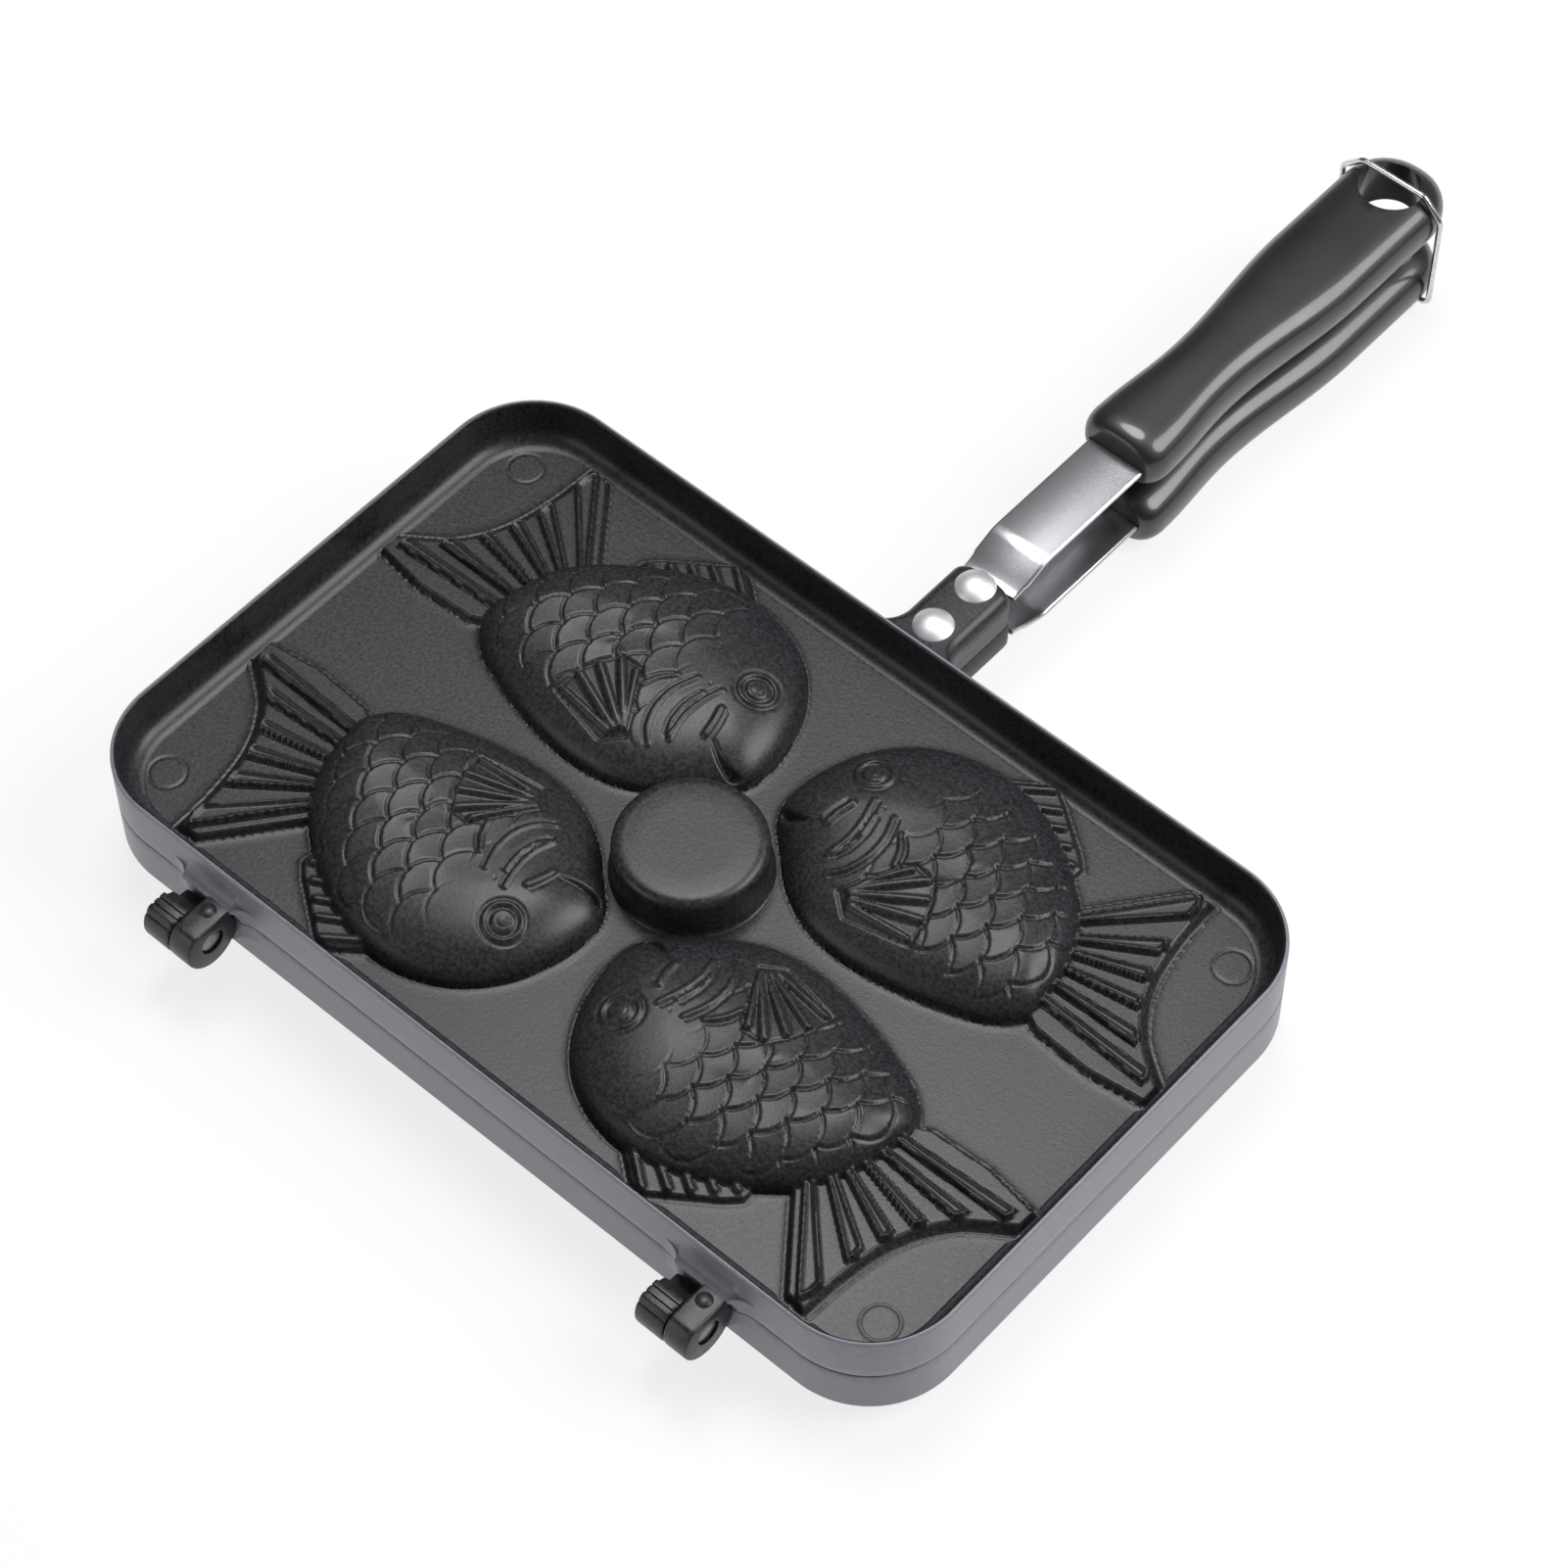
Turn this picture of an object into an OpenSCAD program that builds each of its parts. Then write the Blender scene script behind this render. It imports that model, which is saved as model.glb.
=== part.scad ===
// Stovetop press for four fish shaped cakes: two cast halves that fold shut.
// Millimetres. The origin is the centre of the lower half's underside, where it
// stands on a hob. X runs along the pans, Y towards the grips, Z up.

/* [Pans] */
// Length of each pan along X
pan_l = 250; // [244:1:262]
// Width of each pan along Y
pan_w = 155.4; // [152:0.2:164]
// Height of one half, from the parting plane to its rim
half_h = 13.9; // [13.4:0.1:16]
// Corner radius of the pans in plan
pan_corner_r = 24; // [16:1:30]
// Thickness of the rim at its free edge
lip_t = 1.4; // [1:0.1:2.4]
// Thickness of the rim where it meets the floor
foot_t = 5; // [3.6:0.1:6]
// Thickness of the floor and of the moulds
shell_t = 2; // [1.6:0.1:2.4]
// Gap between the two halves when shut
part_gap = 0.3; // [0.2:0.05:0.6]

/* [Fish moulds] */
// Height of a fish body above the parting plane
fish_h = 12.3; // [11:0.1:12.8]
// Height of a tail above the parting plane
tail_h = 5.6; // [4.8:0.1:7]
// Height of a back fin above the parting plane
fin_h = 4.2; // [3.6:0.1:6]
// Width of a raised ray on the fins and tail
ray_w = 1.3; // [0.8:0.1:2]
// Height of a raised ray
ray_h = 0.8; // [0.4:0.1:1.2]
// Rays on a tail
tail_rays = 9; // [5:1:11]
// Rays on a back fin
fin_rays = 6; // [3:1:8]
// Rays on a side fin
side_rays = 5; // [3:1:7]
// Radius of the ring round an eye
eye_r = 4.7; // [3.8:0.1:5.4]
// Radius of a pupil
pupil_r = 3; // [2:0.1:3.4]

/* [Round mould] */
// Radius of the round mould at the centre
puck_r = 18.6; // [16:0.2:19.2]
// Chamfer round its flat end
puck_chamfer = 1; // [0.4:0.1:2]

/* [Hinges] */
// Distance of each hinge's middle from the pan's middle
hinge_x = 74; // [66:1:84]
// Distance of the hinge axis behind the pan wall
hinge_off = 8.9; // [8.7:0.1:11]
// Radius of the hinge knuckles
knuckle_r = 7.5; // [6.6:0.1:7.9]
// Length of the lower pan's knuckles
knuckle_low_l = 10; // [8:0.5:12]
// Length of the upper pan's knuckles
knuckle_up_l = 14.4; // [11:0.2:16]
// Radius of the hinge pins
pin_r = 2.5; // [2:0.1:3]
// Radius of a pin's head
pin_head_r = 3.7; // [3.4:0.1:4.4]

/* [Handles] */
// Width of the cast lug that carries a strap
lug_w = 14; // [13:0.2:17]
// Reach of that lug out of the pan wall
lug_l = 27.5; // [25:0.5:32]
// Height of its top above the parting plane
lug_h = 10.3; // [9.6:0.1:12]
// Thickness of the lug's top over the strap
lug_top_t = 3; // [2:0.1:3.6]
// Width of the strap between lug and grip
strap_w = 16.6; // [14:0.2:18]
// Width of the strap's tongue inside the lug
tongue_w = 9.6; // [8:0.2:10]
// Thickness of a strap
strap_t = 1.6; // [1.2:0.1:2]
// Rise of a strap from the lug to the grip
strap_rise = 4; // [2:0.1:5]
// Bare length of strap between lug and grip
strap_bare_l = 48.5; // [40:0.5:60]
// Rivet shank radius
rivet_r = 2.2; // [1.8:0.1:2.6]
// Rivet head radius
rivet_head_r = 5.2; // [4.4:0.1:5.6]
// Rivet head height
rivet_head_h = 2.2; // [1.6:0.1:2.8]
// Distance between the two rivets of a lug
rivet_pitch = 15.4; // [14:0.2:16]

/* [Grips] */
// Length of a grip
grip_l = 122.3; // [110:0.5:135]
// Half width of a grip at its front bulb
bulb_w = 12.2; // [11.4:0.1:13]
// Half width of a grip at its waist
waist_w = 10.4; // [10:0.1:11.4]
// Half width of a grip at its end
end_w = 14; // [13.2:0.1:14.2]
// Half thickness of a grip
grip_t = 8; // [7.4:0.1:8.4]
// Height of a grip's middle above the parting plane
grip_z = 11.1; // [10.8:0.1:11.8]
// Radius of the hanging hole
hole_r = 8.3; // [6:0.1:8.6]
// Radius of the screw shank
screw_r = 1.7; // [1.4:0.1:2]
// Radius of the screw head
screw_head_r = 3.3; // [2.8:0.1:3.6]

/* [Wire bail] */
// Radius of the wire
wire_r = 0.8; // [0.6:0.1:1]
// Bend radius of the wire's middle line
wire_bend = 2.4; // [1.8:0.1:3]
// Height of the pivot below the parting plane
bail_drop = 15.9; // [14.6:0.1:16.6]
// Length of wire inside each side bore
bail_end_l = 2.6; // [1.6:0.1:3]

/* [Clearances] */
// Radial clearance of a turning pin in its bore
run_gap = 0.06; // [0.03:0.01:0.1]
// Gap between parts that pass each other
pass_gap = 0.4; // [0.3:0.05:0.6]

/* [Hidden] */
$fn = 48;
eps = 0.02;
// Clearance round a strap, rivet or screw that is held still
seat_gap = 0.1;

wall_y = pan_w / 2;
half_gap = part_gap / 2;
hinge_y = -(wall_y + hinge_off);
knuckle_gap = 0.6;
hinge_span = knuckle_low_l + knuckle_gap + knuckle_up_l;
pin_head_h = 2.2;

lug_end_y = wall_y + lug_l;
strap_in_z = lug_h - lug_top_t - strap_t / 2;
strap_out_z = strap_in_z + strap_rise;
rivet_y1 = wall_y + 7.7;
rivet_y2 = rivet_y1 + rivet_pitch;
grip_y0 = lug_end_y + strap_bare_l;
grip_y1 = grip_y0 + grip_l;
cap_y = grip_y1 - end_w;
hole_y = cap_y + 0.2;
strap_in_grip = 8;
tang_w = 10;
tang_end_y = grip_y0 + 52;
screw_y = grip_y0 + 38;
screw_head_h = 1.6;
screw_head_z = grip_z - grip_t + 0.6;
screw_tip_z = grip_z + 4.8;
// Spacer nub that keeps the two grips apart
nub_y = cap_y - 15.3;
nub_r = 3.4;
bail_y = hole_y + 1;
bail_leg_x = end_w + wire_r + pass_gap + 0.1;
bail_top_z = grip_z + grip_t + wire_r + 0.35;

// Fish outline in plan at floor level, nose first, for the fish at +X +Y
fish_pts = [
    [4.3, 28.5], [5.3, 39], [9.5, 50], [17, 59], [27, 64.6], [38, 66.6], [50, 65],
    [61, 60], [70.5, 53.5], [78, 46.5], [83, 37.5], [85.2, 28], [85.4, 19.5],
    [79, 12.6], [69, 8.4], [57, 5], [44, 3.2], [31.5, 4.4], [20.5, 9.6], [11.5, 17.5], [6.5, 22.5]
];
// Ridge line of a fish body, from its head to its tail root
ridge_a = [27, 37];
ridge_b = [70, 32.5];
// Tail outline: root, upper tip, trailing edge, lower tip
tail_edge = [[98, 71.2], [98.9, 58], [101.8, 44.5], [108.5, 33.5], [119, 25.6]];
tail_low = [[119.2, 18.4], [104, 16.3], [88, 17.2], [74, 24], [70, 46], [75, 50.4], [91, 70.6]];
// Back fin outline
fin_pts = [[36, 64], [46.8, 72.2], [50.4, 72.4], [65.6, 61.6], [68.8, 58.4], [68.6, 54], [60, 52], [44, 58]];
fish_x0 = min([for (p = fish_pts) p.x]);
fish_x1 = max([for (p = fish_pts) p.x]);
// Power of the rounded profile: 1 is a circle, less is fuller
fish_fullness = 0.66;
// Height at which eyes, gill covers and side fins start, inside the body
relief_foot_z = 6;
eye_at = [18, 43.4];
eye_ring_w = 1;
eye_ring_d = 0.5;
pupil_rise = 1;
gill_at = [15, 36];
gill_w = 1.2;
gill_rise = 0.15;
side_fin_rise = 0.35;

// Point on a smooth closed curve through pts, t from 0 to 1
function closed_at(pts, t) =
    let (
        n = len(pts),
        s = t * n,
        i = floor(s),
        u = s - i,
        a = pts[(i + n - 1) % n],
        b = pts[i % n],
        c = pts[(i + 1) % n],
        d = pts[(i + 2) % n]
    )
    (2 * b + (c - a) * u + (2 * a - 5 * b + 4 * c - d) * u * u + (3 * b - a - 3 * c + d) * u * u * u) / 2;

// Point on a smooth open curve through pts, t from 0 to 1
function open_at(pts, t) =
    let (
        n = len(pts) - 1,
        s = min(t * n, n - 0.0001),
        i = floor(s),
        u = s - i,
        b = pts[i],
        c = pts[i + 1],
        a = i > 0 ? pts[i - 1] : 2 * b - c,
        d = i + 2 <= n ? pts[i + 2] : 2 * c - b
    )
    (2 * b + (c - a) * u + (2 * a - 5 * b + 4 * c - d) * u * u + (3 * b - a - 3 * c + d) * u * u * u) / 2;

// Nearest matching point on the ridge for an outline point
function ridge_for(p) =
    let (u = (p.x - fish_x0) / (fish_x1 - fish_x0))
    ridge_a + (ridge_b - ridge_a) * min(max(u, 0), 1);

// Closed skin over rings of equal length, with flat ends
module skin(rings) {
    n = len(rings[0]);
    m = len(rings);
    pts = [for (r = rings) each r];
    sides = [
        for (k = [0 : m - 2], i = [0 : n - 1])
            let (j = (i + 1) % n)
            each [
                [k * n + i, (k + 1) * n + i, k * n + j],
                [k * n + j, (k + 1) * n + i, (k + 1) * n + j]
            ]
    ];
    first = [for (i = [0 : n - 1]) i];
    last = [for (i = [n - 1 : -1 : 0]) (m - 1) * n + i];
    polyhedron(pts, concat([first], sides, [last]));
}

// Domed fish body: rings step in towards the ridge and rise on a rounded profile
module fish_body(inset, foot, top, count, steps) {
    base = [
        for (i = [count - 1 : -1 : 0])
            let (p = closed_at(fish_pts, i / count), c = ridge_for(p))
            p + (c - p) / norm(c - p) * inset
    ];
    rings = concat(
        [[for (p = base) [p.x, p.y, foot]]],
        [
            for (k = [0 : steps])
                let (
                    a = k < steps ? 84 * k / steps : 86,
                    f = 1 - pow(cos(a), fish_fullness),
                    z = shell_t - inset + (top - shell_t + inset) * pow(sin(a), fish_fullness)
                )
                if (k > 0 || foot < shell_t - inset - 0.1)
                    [for (p = base) let (c = ridge_for(p), q = p + (c - p) * f) [q.x, q.y, z]]
        ]
    );
    skin(rings);
}

// A raised bar from a to b in plan, from z0 up to z1
module bar(a, b, w, z0, z1) {
    d = b - a;
    translate([a.x, a.y, z0])
        rotate([0, 0, atan2(d.y, d.x)])
            translate([0, -w / 2, 0])
                cube([norm(d), w, z1 - z0]);
}

function tail_outline() = concat([for (i = [0 : 10]) open_at(tail_edge, i / 10)], tail_low);

module tail_solid() {
    translate([0, 0, 0.3]) linear_extrude(tail_h - 0.3) polygon(tail_outline());
    for (i = [0 : tail_rays - 1]) {
        u = i / (tail_rays - 1);
        root = [76 + 10 * u, 48.5 - 28 * u] + [2.6 * sin(180 * u), 0];
        tip = open_at(tail_edge, 0.06 + 0.9 * u) - [3.4 + (i % 2) * 1.8, 1.2 - 1.6 * u];
        bar(root, tip, ray_w, 1, tail_h + ray_h);
    }
}

module fin_solid() {
    translate([0, 0, 0.3]) linear_extrude(fin_h - 0.3) polygon(fin_pts);
    for (i = [0 : fin_rays - 1]) {
        u = i / (fin_rays - 1);
        a = [40 + 25 * u, 62.8 - 6.5 * u];
        bar(a, a + [6.2, 5.6] * (1.05 - 0.62 * u), ray_w + 0.4, 1, fin_h + ray_h);
    }
}

// Radius of the ball whose cap has this radius and height
function dome_r(cap_r, cap_h) = (cap_r * cap_r + cap_h * cap_h) / (2 * cap_h);

// Eye: a flat ring with a domed pupil in it
module eye() {
    ball = dome_r(pupil_r, pupil_rise);
    translate([eye_at.x, eye_at.y, 0]) {
        difference() {
            translate([0, 0, relief_foot_z]) cylinder(r = eye_r, h = fish_h - relief_foot_z);
            translate([0, 0, fish_h - eye_ring_d]) cylinder(r = eye_r - eye_ring_w, h = fish_h);
        }
        translate([0, 0, fish_h - eye_ring_d + pupil_rise - ball]) sphere(r = ball);
    }
}

// Edge of a gill cover: an arc of radius r behind the eye
module gill(r) {
    translate([gill_at.x, gill_at.y, relief_foot_z])
        rotate([0, 0, -44])
            rotate_extrude(angle = 82)
                translate([r - gill_w / 2, 0]) square([gill_w, fish_h + gill_rise - relief_foot_z]);
}

module side_fin() {
    for (i = [0 : side_rays - 1]) {
        u = i / (side_rays - 1);
        a = [36 - u, 18.2 - 1.6 * u];
        way = 42 - 46 * u;
        bar(a, a + [cos(way), sin(way)] * (15.5 + u), ray_w, relief_foot_z, fish_h + side_fin_rise - 0.3 * u);
    }
}

module fish_outside() {
    fish_body(0, 0.3, fish_h, 40, 6);
    tail_solid();
    fin_solid();
    eye();
    gill(16.5);
    gill(20);
    side_fin();
}

module fish_inside() {
    fish_body(shell_t, -1, fish_h - shell_t, 28, 5);
    translate([0, 0, -1]) linear_extrude(tail_h - shell_t + 1) offset(delta = -shell_t * 0.8) polygon(tail_outline());
    translate([0, 0, -1]) linear_extrude(fin_h - shell_t + 1) offset(delta = -shell_t * 0.8) polygon(fin_pts);
}

module four() {
    for (sx = [0, 1], sy = [0, 1])
        mirror([sx, 0, 0]) mirror([0, sy, 0]) children();
}

// Block with round corners whose side leans by a profile of [inset, height] points
module leaning_block(l, w, r, prof) {
    m = len(prof) - 1;
    for (sx = [-1, 1], sy = [-1, 1])
        translate([sx * (l / 2 - r), sy * (w / 2 - r), 0])
            rotate_extrude()
                polygon(concat([[0, prof[0][1]]], [for (p = prof) [r - p[0], p[1]]], [[0, prof[m][1]]]));
    rotate([90, 0, 90])
        translate([0, 0, -(l / 2 - r)])
            linear_extrude(l - 2 * r)
                polygon(concat([for (p = prof) [w / 2 - p[0], p[1]]], [for (i = [m : -1 : 0]) [prof[i][0] - w / 2, prof[i][1]]]));
    rotate([90, 0, 0])
        translate([0, 0, -(w / 2 - r)])
            linear_extrude(w - 2 * r)
                polygon(concat([for (p = prof) [l / 2 - p[0], p[1]]], [for (i = [m : -1 : 0]) [prof[i][0] - l / 2, prof[i][1]]]));
}

// One pan with its rim up, floor at the parting plane, and no hinges or lug
module pan_half() {
    fillet_h = 4.5;
    fillet_out = foot_t + 2;
    fillet_in = lip_t + 0.9;
    wall_prof = concat(
        [
            for (i = [0 : 4])
                let (a = 90 * i / 4)
                [fillet_out - (fillet_out - fillet_in) * sin(a), shell_t + fillet_h * (1 - cos(a))]
        ],
        [[lip_t, half_h + 1]]
    );
    difference() {
        union() {
            difference() {
                leaning_block(pan_l, pan_w, pan_corner_r, [[0.4, half_gap], [0, half_gap + 0.4], [0, half_h]]);
                leaning_block(pan_l, pan_w, pan_corner_r, wall_prof);
            }
            intersection() {
                four() fish_outside();
                translate([-pan_l / 2 + lip_t, -wall_y + lip_t, 0]) cube([pan_l - 2 * lip_t, pan_w - 2 * lip_t, half_h]);
            }
            translate([0, 0, 0.3]) cylinder(r = puck_r, h = half_h - puck_chamfer - 0.3);
            translate([0, 0, half_h - puck_chamfer - eps]) cylinder(r1 = puck_r, r2 = puck_r - puck_chamfer, h = puck_chamfer + eps);
        }
        four() fish_inside();
        translate([0, 0, -1]) cylinder(r = puck_r - shell_t, h = half_h - shell_t + 1);
        translate([-pan_l / 2, -wall_y, -2]) cube([pan_l, pan_w, 2 + half_gap]);
    }
}

// Start of each knuckle along X, for the hinge on side s
function low_x(s) = s * hinge_x - hinge_span / 2;
function up_x(s) = low_x(s) + knuckle_low_l + knuckle_gap;

// Profile of a knuckle and its arm, in Y and Z
module knuckle_profile() {
    translate([hinge_y, 0]) circle(r = knuckle_r);
    polygon([
        [hinge_y, knuckle_r], [-wall_y - 3, knuckle_r], [-wall_y + 0.6, knuckle_r + 3],
        [-wall_y + 0.6, half_gap], [hinge_y, half_gap]
    ]);
}

module along_x(x0, l) {
    translate([x0, 0, 0]) rotate([90, 0, 90]) linear_extrude(l) children();
}

// Hinge side of a pan: own knuckles, a root plate, and room for the other pan's knuckles
module hinges(own_start, own_l, other_start, other_l) {
    for (s = [0, 1]) {
        difference() {
            union() {
                along_x(own_start[s], own_l) knuckle_profile();
                translate([low_x(2 * s - 1) - 1.5, -wall_y - 1.8, half_gap])
                    cube([hinge_span + 3, 2.4, knuckle_r + 2]);
            }
            translate([other_start[s] - knuckle_gap / 2, hinge_y, 0])
                rotate([0, 90, 0]) cylinder(r = knuckle_r + pass_gap, h = other_l + knuckle_gap);
            translate([own_start[s] - 2, hinge_y, 0])
                rotate([0, 90, 0]) cylinder(r = pin_r + run_gap, h = own_l + 4);
        }
    }
}

// Cast lug that holds a strap: flared root, hollow below
module lug() {
    flare = 6;
    difference() {
        translate([0, 0, half_gap]) linear_extrude(lug_h - half_gap) {
            translate([-lug_w / 2, wall_y - 0.6]) square([lug_w, lug_l + 0.6]);
            difference() {
                translate([-lug_w / 2 - flare, wall_y - 0.6]) square([lug_w + 2 * flare, flare + 0.6]);
                for (s = [-1, 1])
                    translate([s * (lug_w / 2 + flare), wall_y + flare]) circle(r = flare);
            }
        }
        translate([-tongue_w / 2 - 2 * seat_gap, wall_y + 3, -1])
            cube([tongue_w + 4 * seat_gap, lug_l, strap_in_z + strap_t / 2 + 1]);
        for (y = [rivet_y1, rivet_y2])
            translate([0, y, 0]) cylinder(r = rivet_r + seat_gap / 2, h = lug_h + 1);
        translate([-lug_w, lug_end_y - 3, lug_h - 3])
            difference() {
                cube([2 * lug_w, 4, 4]);
                rotate([0, 90, 0]) cylinder(r = 3, h = 2 * lug_w);
            }
    }
}

// Strap in side view: level in the lug, up a slope, level into the grip
module strap_side() {
    t = strap_t / 2;
    y0 = wall_y + 3.6;
    y1 = lug_end_y + 1.2;
    y2 = lug_end_y + 12;
    polygon([
        [y0, strap_in_z - t], [y1 + t, strap_in_z - t], [y2 + t, strap_out_z - t], [tang_end_y, strap_out_z - t],
        [tang_end_y, strap_out_z + t], [y2, strap_out_z + t], [y1, strap_in_z + t], [y0, strap_in_z + t]
    ]);
}

module strap() {
    difference() {
        intersection() {
            along_x(-strap_w / 2, strap_w) strap_side();
            linear_extrude(half_h + 10) {
                translate([-tongue_w / 2, wall_y + 3.6]) square([tongue_w, lug_l]);
                translate([-strap_w / 2 + 0.6, lug_end_y + 0.6]) square([strap_w - 1.2, 6]);
                translate([-strap_w / 2, lug_end_y + 5]) square([strap_w, grip_y0 + strap_in_grip - lug_end_y - 5]);
                translate([-tang_w / 2, grip_y0]) square([tang_w, tang_end_y - grip_y0]);
            }
        }
        for (y = [rivet_y1, rivet_y2])
            translate([0, y, 0]) cylinder(r = rivet_r + seat_gap / 2, h = half_h + 10);
        translate([0, screw_y, 0]) cylinder(r = screw_r + 2 * seat_gap, h = half_h + 10);
    }
}

module rivet(y) {
    z0 = strap_in_z - strap_t / 2;
    ball = dome_r(rivet_head_r, rivet_head_h);
    translate([0, y, 0]) {
        translate([0, 0, z0 - 1.2]) cylinder(r = rivet_head_r - 1.4, h = 1.2);
        translate([0, 0, z0 - 0.6]) cylinder(r = rivet_r, h = lug_h - z0 + 1);
        intersection() {
            translate([0, 0, lug_h + rivet_head_h - ball]) sphere(r = ball);
            translate([0, 0, lug_h]) cylinder(r = rivet_head_r + 1, h = ball);
        }
    }
}

// Half width of a grip at distance s from its front
function grip_half_w(s) =
    s > cap_y - grip_y0
        ? sqrt(max(end_w * end_w - pow(s - (cap_y - grip_y0), 2), 0.01))
        : s < 6
            ? bulb_w - 3.4 + 3.4 * sqrt(1 - pow(1 - s / 6, 2))
            : let (
                u = (s - 6) / (cap_y - grip_y0 - 6),
                v = u < 0.27 ? u / 0.27 : min((u - 0.27) / 0.45, 1),
                e = (1 - cos(180 * v)) / 2
            )
            u < 0.27 ? bulb_w + (waist_w - bulb_w) * e : waist_w + (end_w - waist_w) * e;

// Half thickness of a grip at distance s from its front
function grip_half_t(s) =
    s > cap_y - grip_y0
        ? grip_t * sqrt(max(1 - pow((s - (cap_y - grip_y0)) / end_w, 2), 0.01))
        : s < 6 ? grip_t - 2.4 + 2.4 * sqrt(1 - pow(1 - s / 6, 2)) : grip_t;

// Moulded grip: rounded sections along Y, hanging hole, strap socket, screw seat and nub
module grip() {
    sides = 32;
    cap_l = grip_y1 - cap_y;
    front_s = [0, 0.5, 1.8, 3.6, 6];
    mid_s = [for (i = [1 : 11]) 6 + (cap_y - grip_y0 - 6) * i / 11];
    cap_s = [for (a = [18, 36, 52, 66, 78, 86]) cap_y - grip_y0 + cap_l * sin(a)];
    function rounded(v) = sign(v) * pow(abs(v), 0.8);
    difference() {
        union() {
            skin([
                for (s = concat(front_s, mid_s, cap_s))
                    [
                        for (i = [0 : sides - 1])
                            let (a = -360 * i / sides)
                            [grip_half_w(s) * rounded(cos(a)), grip_y0 + s, grip_z + grip_half_t(s) * rounded(sin(a))]
                    ]
            ]);
            translate([0, nub_y, half_gap]) cylinder(r = nub_r, h = grip_z);
        }
        translate([0, hole_y, -1]) cylinder(r = hole_r, h = grip_z + 2 * grip_t);
        translate([-strap_w / 2 - seat_gap, grip_y0 - 1, strap_out_z - strap_t / 2 - seat_gap])
            cube([strap_w + 2 * seat_gap, strap_in_grip + 1 + seat_gap, strap_t + 2 * seat_gap]);
        translate([-tang_w / 2 - seat_gap, grip_y0, strap_out_z - strap_t / 2 - seat_gap])
            cube([tang_w + 2 * seat_gap, tang_end_y - grip_y0 + seat_gap, strap_t + 2 * seat_gap]);
        translate([0, screw_y, 0]) cylinder(r = screw_r + seat_gap / 2, h = screw_tip_z + seat_gap);
        translate([0, screw_y, 0]) cylinder(r = screw_head_r + 3 * seat_gap, h = screw_head_z + screw_head_h);
    }
}

module grip_screw() {
    cross_l = 4;
    cross_w = 0.8;
    translate([0, screw_y, screw_head_z]) {
        difference() {
            cylinder(r = screw_head_r, h = screw_head_h);
            for (a = [0, 90])
                rotate([0, 0, a]) translate([-cross_l / 2, -cross_w / 2, -1]) cube([cross_l, cross_w, 1 + cross_w]);
        }
        translate([0, 0, screw_head_h / 2]) cylinder(r = screw_r, h = screw_tip_z - screw_head_z - screw_head_h / 2);
    }
}

// Lifts a half shape to its place over the parting plane
module upper_place() {
    translate([0, 0, half_h]) children();
}

// Turns the same half over to sit under the parting plane
module lower_place() {
    translate([0, 0, half_h]) mirror([0, 0, 1]) children();
}

module upper_pan() {
    color("#58595e")
        upper_place() {
            pan_half();
            difference() {
                hinges([up_x(-1), up_x(1)], knuckle_up_l, [low_x(-1), low_x(1)], knuckle_low_l);
                for (s = [-1, 1])
                    translate([up_x(s) + knuckle_up_l - pin_head_h - 0.3, hinge_y, 0])
                        rotate([0, 90, 0]) cylinder(r = pin_head_r + 0.3, h = pin_head_h + 1);
            }
            lug();
        }
}

module lower_pan() {
    color("#58595e")
        lower_place() {
            pan_half();
            hinges([low_x(-1), low_x(1)], knuckle_low_l, [up_x(-1), up_x(1)], knuckle_up_l);
            lug();
        }
}

module hinge_pin(s) {
    color("#9a9c9f")
        translate([low_x(s) + 0.4, hinge_y, half_h])
            rotate([0, 90, 0]) {
                cylinder(r = pin_r, h = hinge_span - 0.8);
                translate([0, 0, hinge_span - 0.4 - pin_head_h]) cylinder(r = pin_head_r, h = pin_head_h - 0.4);
            }
}

// Corners of the wire's middle line in X and Z, from one pivot end to the other
function wire_corners() =
    let (
        flat_x = 9.6,
        shoulder_z = bail_top_z - (bail_leg_x - flat_x),
        half = [[bail_leg_x, -bail_drop], [bail_leg_x, shoulder_z], [flat_x, bail_top_z]]
    )
    concat(
        [[bail_leg_x - wire_bend - 0.6, -bail_drop]],
        half,
        [for (i = [2 : -1 : 0]) [-half[i].x, half[i].y]],
        [[-(bail_leg_x - wire_bend - 0.6), -bail_drop]]
    );

function unit(v) = v / norm(v);

// Points and headings of the bend at corner i of a wire
function bend_stations(pts, i, steps) =
    let (
        d0 = unit(pts[i] - pts[i - 1]),
        d1 = unit(pts[i + 1] - pts[i]),
        turn = atan2(d0.x * d1.y - d0.y * d1.x, d0.x * d1.x + d0.y * d1.y),
        heading = atan2(d0.y, d0.x),
        a = pts[i] - d0 * wire_bend * tan(abs(turn) / 2),
        c = a + [-d0.y, d0.x] * sign(turn) * wire_bend
    )
    [
        for (k = [0 : steps])
            let (h = heading + turn * k / steps)
            [c + [sin(h), -cos(h)] * sign(turn) * wire_bend, h]
    ];

module wire_bail() {
    sides = 12;
    pts = wire_corners();
    n = len(pts);
    stations = concat(
        [[pts[0], 0]],
        [for (i = [1 : n - 2]) each bend_stations(pts, i, 4)],
        [[pts[n - 1], 360]]
    );
    color("#d8dadc")
        translate([0, bail_y, half_h]) {
            skin([
                for (st = stations)
                    [
                        for (i = [0 : sides - 1])
                            let (a = -360 * i / sides, h = st[1], r = wire_r * 0.985)
                            [
                                st[0].x - sin(h) * r * cos(a),
                                r * sin(a),
                                st[0].y + cos(h) * r * cos(a)
                            ]
                    ]
            ]);
            for (s = [-1, 1])
                translate([s * end_inner_x(), 0, -bail_drop])
                    rotate([0, s * 90, 0]) cylinder(r = wire_r, h = bail_leg_x - wire_bend - end_inner_x());
        }
}
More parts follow.
